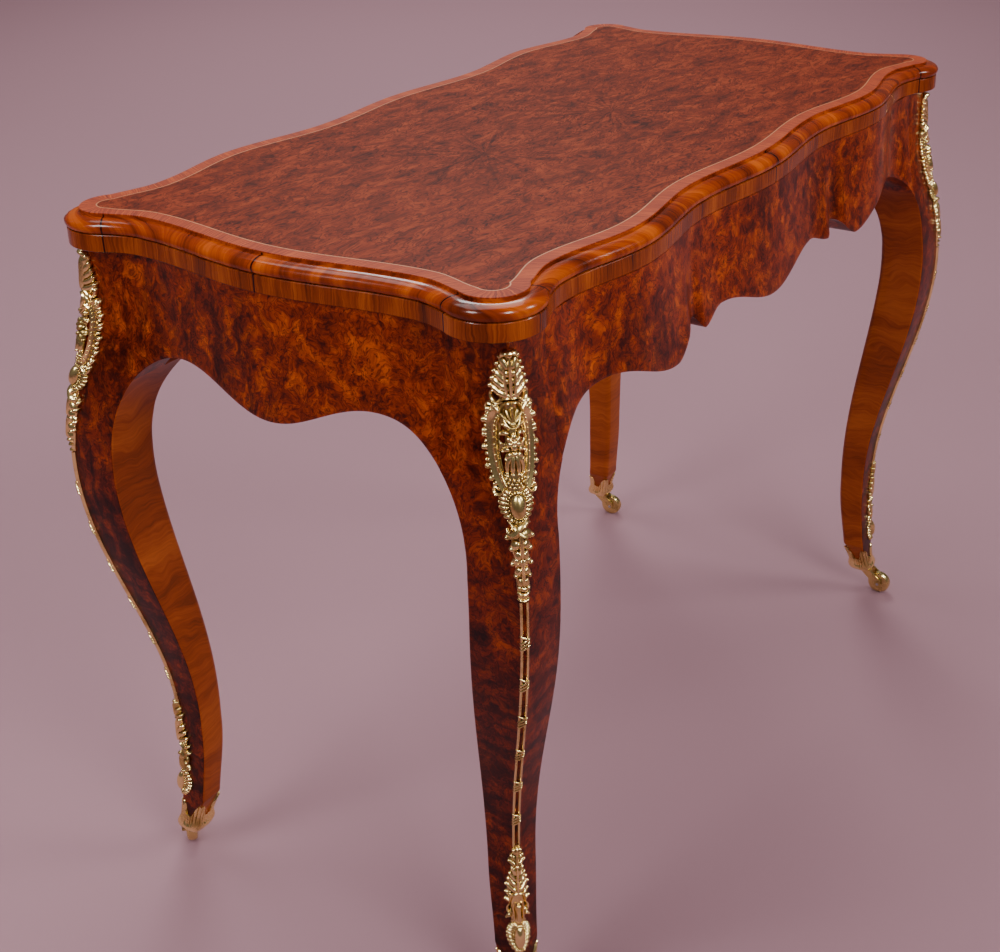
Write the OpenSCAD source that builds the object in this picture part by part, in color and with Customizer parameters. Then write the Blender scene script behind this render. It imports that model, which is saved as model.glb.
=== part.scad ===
// Fold-over swivel-top games table with four cabriole legs, in millimetres.
// +Z is up, the long front side faces -Y, and the origin is on the floor under the middle.

/* [Top] */
// Height of the table top above the floor
table_h = 750; // [720:1:780]
// Thickness of each of the two hinged leaves
leaf_t = 16; // [14:0.5:19]
// How far the flat top reaches beyond the lobe's centre at the middle of a long side
front_mid = 23; // [19:0.5:27]
// How far it reaches beyond the lobe's centre where a long side first dips
front_dip = 12; // [7:0.5:17]
// How far it reaches beyond the lobe's centre at the crest of a long side
front_crest = 27; // [23:0.5:28.5]
// How far it reaches beyond the lobe's centre at the dip beside a corner lobe
corner_dip = 11; // [6:0.5:15]
// How far the outline swings out again from that dip into the lobe
corner_rise = 13.5; // [10:0.5:16]
// How far the flat top reaches beyond the lobe's centre at the middle of an end
end_mid = 31; // [23:1:39]
// How far it reaches beyond the lobe's centre where an end dips
end_dip = 14; // [9:0.5:17]
// How far the outline swings out again from that dip into the lobe
end_rise = 13; // [9:0.5:14]
// Distance of the first dip from the middle of the long side
dip_x = 135; // [125:1:145]
// Distance of the crest from the middle of the long side
crest_x = 265; // [255:1:275]
// Distance of the corner dip from the middle of the long side
corner_dip_x = 379; // [365:1:390]
// Distance of the end dip from the middle of the end
end_dip_y = 151; // [140:1:160]
// Distance of a corner lobe's centre from the middle of the long side
lobe_x = 445; // [440:1:450]
// Distance of a corner lobe's centre from the middle of the end
lobe_y = 207; // [204:0.5:210]
// Radius of the corner lobe of the flat top
lobe_r = 29; // [28:0.5:32]
// How far the thumb moulding stands out beyond the flat top
thumb_out = 14.5; // [11:0.5:17]
// How far the thumb moulding is let into the edge of the upper leaf
thumb_in = 8; // [6:0.5:12]
// Depth of the small step between the flat top and the thumb moulding
quirk = 3; // [2:0.25:4]
// How far the square edge of the lower leaf stands out beyond the flat top
lower_out = 13; // [9:0.5:14]
// Thickness of the veneers on the flat top
veneer_t = 1; // [0.6:0.1:1.5]
// Width of the crossbanding round the flat top
band_w = 15; // [14:0.5:26]
// Radius of the small round ear of the burr panel in each corner lobe
ear_r = 13; // [10:0.5:15]
// Width of the pale stringing line
string_w = 1.2; // [0.8:0.1:2]

/* [Playing surface] */
// Width of the crossbanded border round the cloth
border_w = 48; // [35:1:60]
// Width of the border beside the fold, where the edge bends in furthest
fold_border_w = 14; // [13:1:30]
// Depth of the recess that the cloth lies in
cloth_recess = 1.5; // [1:0.1:2.5]
// How far the cloth lies below the border
cloth_low = 0.2; // [0.1:0.1:0.6]
// Gap round the edge of the cloth
cloth_gap = 0.2; // [0.1:0.05:0.5]

/* [Fold hinges] */
// Distance of each hinge from the middle of the fold
hinge_x = 265; // [180:5:300]
// Length of a hinge along the fold
hinge_len = 60; // [45:1:80]
// Thickness of a hinge plate
hinge_plate_t = 2; // [1.5:0.1:3]
// Height of a hinge plate on the edge of its leaf
hinge_plate_h = 12; // [9:0.5:13]
// Radius of the hinge knuckles
knuckle_r = 3.2; // [2.8:0.1:4]
// Radius of the hinge pin
hinge_pin_r = 1.5; // [1.2:0.1:1.8]
// Radial clearance of the hinge pin
hinge_fit = 0.05; // [0.02:0.01:0.1]

/* [Swivel] */
// Radius of the pivot spindle
spindle_r = 7; // [6:0.5:9]
// Radial clearance of the spindle in its bush
spindle_fit = 0.06; // [0.02:0.01:0.1]
// Radius of the flange that holds the spindle to the lower leaf
flange_r = 32; // [28:1:40]
// Thickness of that flange
flange_t = 4; // [3:0.5:6]
// Outer radius of the bush in the pivot rail
bush_r = 11; // [10:0.5:13]
// Radius at which the stop peg travels round the spindle
stop_radius = 30; // [26:0.5:32]
// Radius of the stop peg
stop_peg_r = 4; // [3:0.25:5]
// Depth of the quadrant groove that the peg runs in
groove_d = 8; // [6:0.5:12]
// Width of the pivot rail
rail_w = 84; // [80:1:100]
// Thickness of the pivot rail and of the cross rail
rail_t = 28; // [24:1:32]
// Width of the cross rail
cross_rail_w = 45; // [35:1:70]
// Distance of the cross rail from the middle
cross_rail_x = 300; // [260:5:330]

/* [Frieze] */
// Running gap between the lower leaf and the top of the frame
swivel_gap = 0.3; // [0.2:0.05:0.5]
// How far the front and back aprons stand out beyond the flat top
front_over = 12.5; // [8:0.5:12.5]
// How far the end aprons stand out beyond the flat top
end_over = 10; // [7:0.5:12.5]
// Thickness of an apron where it is thinnest
apron_t = 30; // [24:1:34]
// Drop from the table top to the apron edge at the middle of a long side
mid_edge_h = 146; // [138:1:160]
// Drop from the table top to the shoulder beside the central lobe
shoulder_h = 123; // [118:1:130]
// Drop from the table top to the tip of the small tooth
tooth_h = 133; // [130:1:140]
// Drop from the table top to the notch between the tooth and the side lobe
notch_h = 118; // [114:1:122]
// Drop from the table top to the tip of the side lobe
side_lobe_h = 144; // [138:1:154]
// Drop from the table top to the arch between the side lobe and the leg
front_arch_h = 116; // [110:1:122]
// Distance of the shoulder from the middle
shoulder_x = 106; // [98:1:115]
// Distance of the tooth from the middle
tooth_x = 148; // [140:1:154]
// Distance of the notch from the middle
notch_x = 165; // [160:1:172]
// Distance of the tip of the side lobe from the middle
side_lobe_x = 215; // [200:1:230]
// Distance of the front arch from the middle
front_arch_x = 327; // [310:1:340]
// Drop from the table top to the end apron edge at its middle
end_edge_h = 150; // [140:1:160]
// Drop from the table top to the arch of the end apron
end_arch_h = 121; // [116:1:128]
// Distance of the end arch from the middle of the end
end_arch_y = 105; // [95:1:115]
// Drop from the table top to where the leg's side starts to sweep into the front arch
front_spring_h = 210; // [190:1:230]
// Drop from the table top to where the leg's side starts to sweep into the end arch
end_spring_h = 240; // [220:1:250]

/* [Legs] */
// How far the leg stands beyond the lobe's centre, along the length
leg_out_x = 5; // [2:0.5:8]
// How far the leg stands beyond the lobe's centre, along the depth
leg_out_y = 11.5; // [9:0.5:14]
// Drop from the table top to the widest part of the knee
knee_h = 260; // [250:1:290]
// Height of the narrowest part of the ankle
ankle_h = 186; // [160:1:200]
// Drop from the table top to the lower end of the leg's corner block
block_h = 154; // [146:1:165]
// Reach of the arris along the diagonal at the knee
knee_out = 59; // [55:0.5:70]
// Reach of the arris along the diagonal at the ankle
ankle_out = -4.5; // [-12:0.5:2]
// Reach of the arris along the diagonal at the bottom of the foot
foot_out = 10; // [8:0.5:16]
// Reach of the arris along the diagonal under the top
head_out = 19.5; // [16:0.5:24]
// Width of each face of the leg at the knee
knee_w = 56; // [52:0.5:62]
// Width of each face of the leg at the ankle
ankle_w = 33.5; // [28:0.5:38]
// Width of each face of the leg just above the shoe
toe_w = 30.5; // [27:0.5:36]
// Width of each face of the foot at its bottom
foot_w = 23; // [20:0.5:26]
// Height of the step above the shoe
toe_h = 78; // [74:1:84]

/* [Brass mounts] */
// Gap between a mount and the wood behind it
mount_gap = 0.25; // [0.15:0.05:0.4]
// Drop from the table top to the lower end of the knee mount
knee_mount_h = 244; // [230:1:260]
// Height of the lower end of the reeded strip
strip_h = 205; // [190:1:220]
// Half width of the reeded strip on each face
strip_w = 4.7; // [3.5:0.1:6]
// Height of the lower end of the foot mount
foot_mount_h = 80; // [78:1:90]
// Wall of the leaf-cast shoe
shoe_t = 2; // [1.4:0.1:2.6]
// Height of the leaf tips at the corners of the shoe
shoe_tip_h = 74; // [66:1:76]
// Height of the rim between the leaf tips of the shoe
shoe_rim_h = 54; // [50:1:62]

/* [Castors] */
// Height of the underside of the shoe
shoe_h = 36; // [34:0.5:40]
// Thickness of the bottom of the shoe
shoe_floor_t = 8; // [6:0.5:9]
// Radius of the castor wheel
wheel_r = 15; // [13:0.25:15.5]
// Width of the castor wheel
wheel_w = 12; // [9:0.5:14]
// Distance of the axle behind the swivel stem
castor_trail = 20; // [18:0.5:22]
// Radius of the swivel stem
stem_r = 3; // [2.5:0.25:3.5]
// Radius of the axle
axle_r = 2; // [1.5:0.1:2.5]
// Radial clearance of the stem and of the axle
castor_fit = 0.05; // [0.02:0.01:0.1]
// Gap between the fork and what it turns beside
castor_gap = 0.5; // [0.3:0.1:1]
// Thickness of the fork's arms
fork_t = 2.4; // [2:0.1:3]

/* [Well] */
// Depth of the storage well below the top of the frame
well_d = 64; // [50:1:66]
// Thickness of the well's floor
floor_t = 6; // [4:0.5:8]
// Thickness of the board between the well and the pivot rail
divider_t = 18; // [12:1:22]
// Side of the cleats under the floor
cleat_w = 11; // [8:1:12]
// Side of the glue blocks behind the joints
glue_block = 18; // [12:1:22]

/* [Hidden] */
LEGS = ["front_left", "front_right", "back_left", "back_right"];
SIDES = [[-1, -1], [1, -1], [-1, 1], [1, 1]];
// Directions that the four castors point in, in the order of the legs
TRAILS = [-55, -88, 45, -82];
$fn = 48;
EPS = 0.01;
DIAGONAL = sqrt(0.5);
// Points along a quarter of the outline: on the end, round the lobe, on the long side
N_END = 8;
N_LOBE = 8;
N_FRONT = 20;

// Height above the floor of what lies a drop below the table top
function high(drop) = table_h - drop;
parting_h = table_h - leaf_t;
underside_h = parting_h - leaf_t;
frame_top = underside_h - swivel_gap;
// Half of the gap between the closed leaves, and of the gap at the fold when they lie open
leaf_gap = 0.1;
fold_y = lobe_y + lobe_r;
fold_edge_y = fold_y - leaf_gap;
pivot_xy = fold_y / 2;
leg_x = lobe_x + leg_out_x;
leg_y = lobe_y + leg_out_y;

// Smooth half-cosine step from 0 to 1
function ease(t) = (1 - cos(180 * max(0, min(1, t)))) / 2;
// Serpentine line through [place, value] stations, level at each station
function wave(p, x, i = 0) =
    i == len(p) - 2 || x <= p[i + 1][0]
    ? p[i][1] + (p[i + 1][1] - p[i][1]) * ease((x - p[i][0]) / (p[i + 1][0] - p[i][0]))
    : wave(p, x, i + 1);
function mix(a, b, t) = a + (b - a) * t;
// Places between stations, n steps to each stretch
function spaced(p, n) =
    concat([for (i = [0:len(p) - 2]) for (j = [0:n - 1]) mix(p[i], p[i + 1], j / n)], [p[len(p) - 1]]);
function mirrored(p) = concat([for (i = [len(p) - 1:-1:1]) -p[i]], p);

// Outline of the flat top: serpentine sides and ends that run into four round corner lobes
front_line = [
    [0, lobe_y + front_mid], [dip_x, lobe_y + front_dip], [crest_x, lobe_y + front_crest],
    [corner_dip_x, lobe_y + corner_dip], [lobe_x, lobe_y + corner_dip + corner_rise]
];
end_line = [
    [0, lobe_x + end_mid], [end_dip_y, lobe_x + end_dip], [lobe_y, lobe_x + end_dip + end_rise]
];
// Place along a side where it meets the lobe of radius r, by halving the stretch beside the lobe
function meet(line, out, along, across, r, lo, hi, n = 20) =
    let (m = (lo + hi) / 2)
    n == 0 ? m
    : wave(line, m) + out > across + sqrt(r * r - (m - along) * (m - along))
    ? meet(line, out, along, across, r, m, hi, n - 1)
    : meet(line, out, along, across, r, lo, m, n - 1);
function quarter(out, r) =
    let (
        x = meet(front_line, out, lobe_x, lobe_y, r, lobe_x - r, lobe_x),
        y = meet(end_line, out, lobe_y, lobe_x, r, lobe_y - r, lobe_y),
        a = atan2(y - lobe_y, wave(end_line, y) + out - lobe_x),
        b = atan2(wave(front_line, x) + out - lobe_y, x - lobe_x)
    )
    concat(
        [for (i = [0:N_END - 1]) let (v = y * i / N_END) [wave(end_line, v) + out, v]],
        [for (i = [0:N_LOBE]) let (t = mix(a, b, i / N_LOBE)) [lobe_x + r * cos(t), lobe_y + r * sin(t)]],
        [for (i = [1:N_FRONT]) let (u = x * (1 - i / N_FRONT)) [u, wave(front_line, u) + out]]
    );
function all_round(q) = concat(
    q,
    [for (i = [len(q) - 2:-1:0]) [-q[i][0], q[i][1]]],
    [for (i = [1:len(q) - 1]) [-q[i][0], -q[i][1]]],
    [for (i = [len(q) - 2:-1:1]) [q[i][0], -q[i][1]]]
);
function outline(out, r) = all_round(quarter(out, r));
// The same outline cut straight along the fold
function leaf_outline(out) = [for (p = outline(out, lobe_r + out)) [p[0], min(p[1], fold_edge_y)]];
function at_height(points, z) = [for (p = points) [p[0], p[1], z]];

// Solid skinned over rings of equally many points that run anticlockwise seen from their far end
// A closed one comes back to its first ring, as a frame does, and has no end faces
module loft(rings, closed = false) {
    n = len(rings[0]);
    total = n * len(rings);
    ends = closed ? [] : [[for (i = [0:n - 1]) i], [for (i = [n - 1:-1:0]) total - n + i]];
    sides = [
        for (j = [0:len(rings) - (closed ? 1 : 2)]) for (i = [0:n - 1]) for (half = [0:1])
            let (a = j * n + i, b = j * n + (i + 1) % n, c = (a + n) % total, d = (b + n) % total)
            half == 0 ? [a, c, d] : [a, d, b]
    ];
    polyhedron(points = [for (r = rings) for (p = r) p], faces = concat(ends, sides), convexity = 6);
}
module prism(z0, z1) {
    translate([0, 0, z0]) linear_extrude(z1 - z0, convexity = 6) children();
}
module disc(r, z0, z1) {
    translate([0, 0, z0]) cylinder(r = r, h = z1 - z0);
}
module at_pivot() {
    translate([pivot_xy, pivot_xy, 0]) children();
}
module walnut() {
    color([0.36, 0.16, 0.07]) children();
}
module burr_walnut() {
    color([0.52, 0.23, 0.08]) children();
}
module carcass_wood() {
    color([0.62, 0.45, 0.28]) children();
}
module gilt_brass() {
    color([0.78, 0.63, 0.33]) children();
}
module green_cloth() {
    color([0.16, 0.36, 0.22]) children();
}
module steel() {
    color([0.55, 0.56, 0.58]) children();
}

// Cabriole leg: one square section whose outer arris follows an S line in the diagonal plane
knee = high(knee_h);
block_low = high(block_h);
front_spring = high(front_spring_h);
end_spring = high(end_spring_h);
function arris_out(z) =
    z < ankle_h
    ? ankle_out + (foot_out - ankle_out) * pow((ankle_h - z) / (ankle_h - shoe_h), 2)
    : wave([[ankle_h, ankle_out], [knee, knee_out], [frame_top, head_out]], z);
function arris_x(z) = leg_x + DIAGONAL * arris_out(z);
function arris_y(z) = leg_y + DIAGONAL * arris_out(z);
// Heights between which the faces widen, a little below the bends of the ankle and the knee
slim_h = ankle_h - 18;
broad_h = knee - 28;
function face_w(z) =
    z < toe_h
    ? mix(foot_w, toe_w, pow((z - shoe_h) / (toe_h - shoe_h), 2))
    : wave([[toe_h, toe_w], [slim_h, ankle_w], [broad_h, knee_w]], min(z, broad_h));
// Elliptical sweep from the side of the leg into the arch of an apron
function sweep_in(z, side, arch, spring_h, arch_h) =
    arch + (side - arch) * sqrt(1 - pow((z - spring_h) / (arch_h - spring_h), 2));
front_side = arris_x(front_spring) - face_w(front_spring);
end_side = arris_y(end_spring) - face_w(end_spring);
function inner_x(z) =
    z <= front_spring ? arris_x(z) - face_w(z)
    : sweep_in(min(z, block_low), front_side, front_arch_x, front_spring, high(front_arch_h));
function inner_y(z) =
    z <= end_spring ? arris_y(z) - face_w(z)
    : sweep_in(min(z, block_low), end_side, end_arch_y, end_spring, high(end_arch_h));
joint_x = inner_x(frame_top);
joint_y = inner_y(frame_top);
// Softened corners: small at the joints of the corner block, fuller down the leg
arris_cut = 1;
function side_cut(z) = mix(2, 0.4, ease((z - front_spring) / (block_low - front_spring)));
function inner_round(z) = mix(7, 0.8, ease((z - end_spring) / (block_low - end_spring)));
// Section of the leg at height z, grown by out
function leg_section(z, out = 0) =
    let (
        x1 = arris_x(z) + out, y1 = arris_y(z) + out,
        x0 = inner_x(z) - out, y0 = inner_y(z) - out,
        c = side_cut(z), r = inner_round(z)
    )
    [
        [x1, y0 + c], [x1, y1 - arris_cut], [x1 - arris_cut, y1], [x0 + c, y1], [x0, y1 - c],
        [x0, y0 + r], [x0 + r * (1 - DIAGONAL), y0 + r * (1 - DIAGONAL)], [x0 + r, y0], [x1 - c, y0]
    ];
leg_foot_h = shoe_h + shoe_floor_t + 4;
leg_levels = concat(
    spaced([leg_foot_h, toe_h], 4),
    spaced([toe_h + 14, front_spring], 22),
    [for (t = [0.3, 0.6, 0.82]) mix(front_spring, block_low, t)],
    spaced([block_low, frame_top], 6)
);
module cabriole_leg() {
    loft([for (z = leg_levels) at_height(leg_section(z), z)]);
}

// Cast mounts follow the arris and lap onto both outer faces of the leg
// Form of each mount: height above its lower end, half width on each face, thickness on the arris
knee_mount_form = [
    [0, 5, 2.6], [16, 8, 3], [32, 8.5, 3], [48, 12.4, 3.4], [64, 12, 3.6], [76, 15, 4.5],
    [88, 19.6, 4], [98, 22.5, 3.6], [112, 25, 3.6], [128, 26.5, 3.8], [142, 26, 4], [152, 23, 4],
    [156, 15, 3.8], [164, 18, 3.6], [172, 15, 3.4], [182, 15.5, 3.2], [190, 11, 3], [202, 7, 2.6]
];
foot_mount_form = [
    [0, 9, 6], [7, 14, 8], [18, 15, 7], [30, 11, 4.5], [44, 13, 4], [60, 8.5, 3.4], [78, 9.5, 3.2],
    [92, 8, 3], [108, 6.5, 2.8], [strip_h - foot_mount_h, strip_w, 2.4]
];
strip_t = 2.4;
tip_t = 1.4;
mount_joint = 0.3;
function mount_section(z, w, t) =
    let (x = arris_x(z), y = arris_y(z), g = mount_gap)
    [
        [x + g, y - w, z], [x + g + tip_t, y - w, z], [x + t, y, z], [x, y + t, z],
        [x - w, y + g + tip_t, z], [x - w, y + g, z], [x + g, y + g, z]
    ];
// The last section stops short of the mount above it
module arris_mount(z0, form) {
    last = len(form) - 1;
    loft([for (i = [0:last]) let (f = form[i])
        mount_section(z0 + f[0] - (i == last ? mount_joint : 0), f[1], f[2])]);
}
// Place on a leg's face at height z, s to the side of the arris and h above the wood
function on_face(s, z, h) = s < 0
    ? [arris_x(z) + mount_gap + h, arris_y(z) + s, z]
    : [arris_x(z) - s, arris_y(z) + mount_gap + h, z];
// Ribs of the knee mount on each face: distance from the arris, height above its lower end, radius
cartouche_rib = [
    [10, 85, 1.6], [17, 97, 2.1], [21, 117, 2.4], [20.5, 137, 2.2], [15, 147, 1.8], [12.5, 141, 1.6]
];
leaf_rib = [[4.5, 158, 1.6], [10.5, 180, 1.4]];
// Openings of the knee mount on each face: distance, height, radius at the two ends
upper_opening = [[12.5, 133, 2], [14, 128, 2.6]];
lower_opening = [[14.5, 118, 2.8], [12, 104, 2.2]];
module knee_rib(line, side) {
    for (i = [0:len(line) - 2]) hull() for (p = [line[i], line[i + 1]])
        translate(on_face(side * p[0], high(knee_mount_h) + p[1], p[2])) sphere(r = p[2], $fn = 6);
}
module knee_opening(ends, side) {
    hull() for (p = ends) translate(on_face(side * p[0], high(knee_mount_h) + p[1], -1))
        rotate(side < 0 ? [0, 90, 0] : [-90, 0, 0]) cylinder(r = p[2], h = 8, $fn = 12);
}
// Polished oval boss on the arris below the cartouche
module knee_boss() {
    z = high(knee_mount_h) + 79;
    hull() translate([arris_x(z) + 1.5, arris_y(z) + 1.5, z]) rotate([0, 0, 45]) scale([3.4, 6.5, 9.5])
        sphere(r = 1, $fn = 12);
}
module knee_mount() {
    difference() {
        arris_mount(high(knee_mount_h), knee_mount_form);
        for (side = [-1, 1]) {
            knee_opening(upper_opening, side);
            knee_opening(lower_opening, side);
        }
    }
    for (side = [-1, 1]) {
        knee_rib(cartouche_rib, side);
        knee_rib(leaf_rib, side);
    }
    intersection() {
        knee_boss();
        arris_mount(high(knee_mount_h), [for (f = knee_mount_form) [f[0], 40, 12]]);
    }
}
// Reeded strip, held by small ties at equal steps
strip_ties = 6;
tie_w = 1;
module reed_strip() {
    pitch = (high(knee_mount_h) - strip_h) / (strip_ties + 1);
    arris_mount(strip_h, concat([[0, strip_w, strip_t]],
        [for (i = [0:strip_ties]) for (t = [0.1, 0.35, 0.65, 0.9, 1])
            let (tie = t == 1 && i < strip_ties ? tie_w : 0)
            [pitch * (i + t), strip_w + tie, strip_t + tie / 2]]));
}
module foot_mount() {
    arris_mount(foot_mount_h, foot_mount_form);
}

// Leaf-cast shoe: a cup round the foot, with leaf tips up its corners and a bored bottom for the stem
shoe_swell = 0.4;
// Section with a slightly swelled middle point on each face, which carries the dip of the rim
function cup_section(z, out) =
    let (p = leg_section(z, out), s = shoe_swell)
    [
        p[0], (p[0] + p[1]) / 2 + [s, 0], p[1], p[2], (p[2] + p[3]) / 2 + [0, s], p[3],
        p[4], (p[4] + p[5]) / 2 - [s, 0], p[5], p[6], p[7], (p[7] + p[8]) / 2 - [0, s], p[8]
    ];
function rim_h(i) = i == 1 || i == 4 || i == 7 || i == 11 ? shoe_rim_h : shoe_tip_h;
function shoe_ring(t, out) =
    [for (i = [0:12]) let (z = mix(shoe_h, rim_h(i), t), p = cup_section(z, out)[i]) [p[0], p[1], z]];
module shoe() {
    floor_h = shoe_h + shoe_floor_t;
    difference() {
        loft([
            shoe_ring(0, shoe_t),
            shoe_ring(0.16, shoe_t + 1),
            shoe_ring(0.32, shoe_t),
            shoe_ring(0.7, shoe_t),
            shoe_ring(1, shoe_t * 0.7),
            shoe_ring(1, mount_gap),
            shoe_ring(0.7, mount_gap),
            at_height(cup_section(floor_h, mount_gap), floor_h)
        ]);
        translate([leg_x, leg_y, 0]) disc(stem_r + castor_fit, shoe_h - 1, floor_h + 1);
    }
}

module leg_place(i) {
    mirror([SIDES[i][0] < 0 ? 1 : 0, 0, 0]) mirror([0, SIDES[i][1] < 0 ? 1 : 0, 0]) children();
}

// Castor: a swept-back horn fork on a riveted stem, with a barrel wheel on a plain axle
crown_top = shoe_h - castor_gap;
crown_t = 3;
arm_y = wheel_w / 2 + castor_gap;
module castor_place(i) {
    translate([SIDES[i][0] * leg_x, SIDES[i][1] * leg_y, 0]) rotate([0, 0, TRAILS[i]]) children();
}
module axle_hole(r, w) {
    translate([castor_trail, w / 2, wheel_r]) rotate([90, 0, 0]) cylinder(r = r, h = w);
}
module fork_arm() {
    reach = castor_trail + 1;
    translate([0, arm_y + fork_t, 0]) rotate([90, 0, 0]) linear_extrude(fork_t)
        polygon([
            [-6, crown_top], [6, crown_top], [reach + 3, wheel_r + 6], [reach + 4, wheel_r],
            [castor_trail, wheel_r - 5], [castor_trail - 5, wheel_r - 1], [-6, crown_top - crown_t]
        ]);
}
module castor_fork() {
    difference() {
        union() {
            disc(stem_r, crown_top - EPS, shoe_h + shoe_floor_t + castor_gap);
            disc(stem_r + 2, shoe_h + shoe_floor_t + castor_gap - EPS, shoe_h + shoe_floor_t + 3);
            disc(8.5, crown_top - crown_t, crown_top);
            translate([-6, -arm_y - fork_t, crown_top - crown_t])
                cube([12, 2 * (arm_y + fork_t), crown_t]);
            fork_arm();
            mirror([0, 1, 0]) fork_arm();
        }
        axle_hole(axle_r, 60);
    }
}
module castor_axle() {
    axle_hole(axle_r, 2 * (arm_y + fork_t) + 1);
}
module castor_wheel() {
    half = wheel_w / 2;
    translate([castor_trail, 0, wheel_r]) rotate([90, 0, 0]) rotate_extrude()
        polygon([
            [axle_r + castor_fit, -half], [wheel_r - 5, -half], [wheel_r - 1.6, -half + 0.8],
            [wheel_r, -half + 3], [wheel_r, half - 3], [wheel_r - 1.6, half - 0.8],
            [wheel_r - 5, half], [axle_r + castor_fit, half]
        ]);
}

// Shaped aprons: sawn from thick stock, serpentine outside and flat inside, swelling out downwards
front_edge_line = [
    [0, high(mid_edge_h)], [shoulder_x, high(shoulder_h)], [tooth_x, high(tooth_h)],
    [notch_x, high(notch_h)], [side_lobe_x, high(side_lobe_h)], [front_arch_x, high(front_arch_h)]
];
front_swell_line = [
    [0, 6.5], [shoulder_x, 8], [tooth_x, 13], [notch_x, 4.5],
    [mix(notch_x, side_lobe_x, 0.5), 11], [crest_x, 5], [front_arch_x, 3.5]
];
end_edge_line = [[0, high(end_edge_h)], [end_arch_y, high(end_arch_h)]];
end_swell_line = [[0, 2], [end_arch_y, 3]];
swell_power = 1.6;
front_in = lobe_y + corner_dip + front_over - apron_t;
end_in = lobe_x + end_dip + end_over - apron_t;
function edge_h(u, line, side, arch, spring_h, arch_h) =
    u <= arch ? wave(line, u)
    : spring_h + (arch_h - spring_h) * sqrt(1 - pow((u - arch) / (side - arch), 2));
function front_edge(u) =
    edge_h(u, front_edge_line, front_side, front_arch_x, front_spring, high(front_arch_h));
function end_edge(u) = edge_h(u, end_edge_line, end_side, end_arch_y, end_spring, high(end_arch_h));
function swelling(z, edge) = pow(max(0, frame_top - z) / (frame_top - edge), swell_power);
function front_face(u, z) = mix(
    wave(front_line, u) + front_over + wave(front_swell_line, u) * swelling(z, front_edge(u)),
    arris_y(z), ease((u - front_arch_x) / (joint_x - front_arch_x))
);
function end_face(u, z) = mix(
    wave(end_line, u) + end_over + wave(end_swell_line, u) * swelling(z, end_edge(u)),
    arris_x(z), ease((u - end_arch_y) / (joint_y - end_arch_y))
);
apron_rows = [0, 0.35, 0.62, 0.84, 1];
front_places = mirrored(concat(
    spaced([0, shoulder_x], 5), [for (t = [0.25, 0.5, 0.75, 1]) mix(shoulder_x, tooth_x, t)],
    [for (t = [0.3, 0.7, 1]) mix(tooth_x, notch_x, t)],
    [for (i = [1:6]) mix(notch_x, side_lobe_x, i / 6)],
    [for (i = [1:6]) mix(side_lobe_x, front_arch_x, i / 6)],
    [for (t = [0.2, 0.4, 0.6, 0.8, 1]) mix(front_arch_x, joint_x, t)]
));
end_places = mirrored(concat(
    spaced([0, end_arch_y], 6), [for (t = [0.2, 0.4, 0.6, 0.8, 1]) mix(end_arch_y, joint_y, t)]
));
module front_shape() {
    loft([for (x = front_places) let (u = abs(x), edge = front_edge(u)) concat(
        [for (t = apron_rows) let (z = mix(frame_top, edge, t)) [x, -front_face(u, z), z]],
        [[x, -front_in, edge], [x, -front_in, frame_top]]
    )]);
}
module end_shape() {
    loft([for (x = end_places) let (u = abs(x), edge = end_edge(u)) concat(
        [for (t = apron_rows) let (z = mix(frame_top, edge, t)) [x, -end_face(u, z), z]],
        [[x, -end_in, edge], [x, -end_in, frame_top]]
    )]);
}
module front_apron() {
    burr_walnut() front_shape();
}
module back_apron() {
    burr_walnut() rotate([0, 0, 180]) front_shape();
}
module left_apron() {
    burr_walnut() rotate([0, 0, -90]) end_shape();
}
module right_apron() {
    burr_walnut() rotate([0, 0, 90]) end_shape();
}

// Inside the frieze: rails across, the well's floor and divider, cleats and glue blocks
rail_low = frame_top - rail_t;
rail_x0 = pivot_xy - rail_w / 2;
divider_x0 = rail_x0 - divider_t;
well_floor_h = frame_top - well_d;
// Angle at which the stop peg stands at rest, and how far it may turn
STOP_ANGLE = -135;
SWIVEL = 90;
peg_gap = 0.3;
module quadrant_groove() {
    groove_r = stop_peg_r + peg_gap;
    at_pivot() {
        rotate([0, 0, STOP_ANGLE]) translate([0, 0, frame_top - groove_d]) rotate_extrude(angle = SWIVEL)
            translate([stop_radius - groove_r, 0]) square([2 * groove_r, groove_d + 1]);
        for (a = [STOP_ANGLE, STOP_ANGLE + SWIVEL]) rotate([0, 0, a]) translate([stop_radius, 0, 0])
            disc(groove_r, frame_top - groove_d, frame_top + 1);
    }
}
module rail(x0, w) {
    translate([x0, -front_in, rail_low]) cube([w, 2 * front_in, rail_t]);
}
module pivot_rail() {
    carcass_wood() difference() {
        rail(rail_x0, rail_w);
        at_pivot() disc(bush_r, rail_low - 1, frame_top + 1);
        quadrant_groove();
    }
}
module cross_rail() {
    carcass_wood() rail(cross_rail_x - cross_rail_w / 2, cross_rail_w);
}
module pivot_bush() {
    gilt_brass() at_pivot() difference() {
        disc(bush_r, rail_low, frame_top);
        disc(spindle_r + spindle_fit, rail_low - 1, frame_top + 1);
    }
}
module well_divider() {
    carcass_wood() translate([divider_x0, -front_in, well_floor_h - floor_t])
        cube([divider_t, 2 * front_in, well_d + floor_t]);
}
block_clear = 0.3;
module well_floor() {
    carcass_wood() difference() {
        translate([-end_in, -front_in, well_floor_h - floor_t])
            cube([end_in + divider_x0, 2 * front_in, floor_t]);
        for (s = [-1, 1]) translate([-end_in - 1, s > 0 ? joint_y - block_clear : -front_in - 1, 0])
            cube([end_in + 1 - joint_x + block_clear, front_in + 1 - joint_y + block_clear, table_h]);
    }
}
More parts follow.
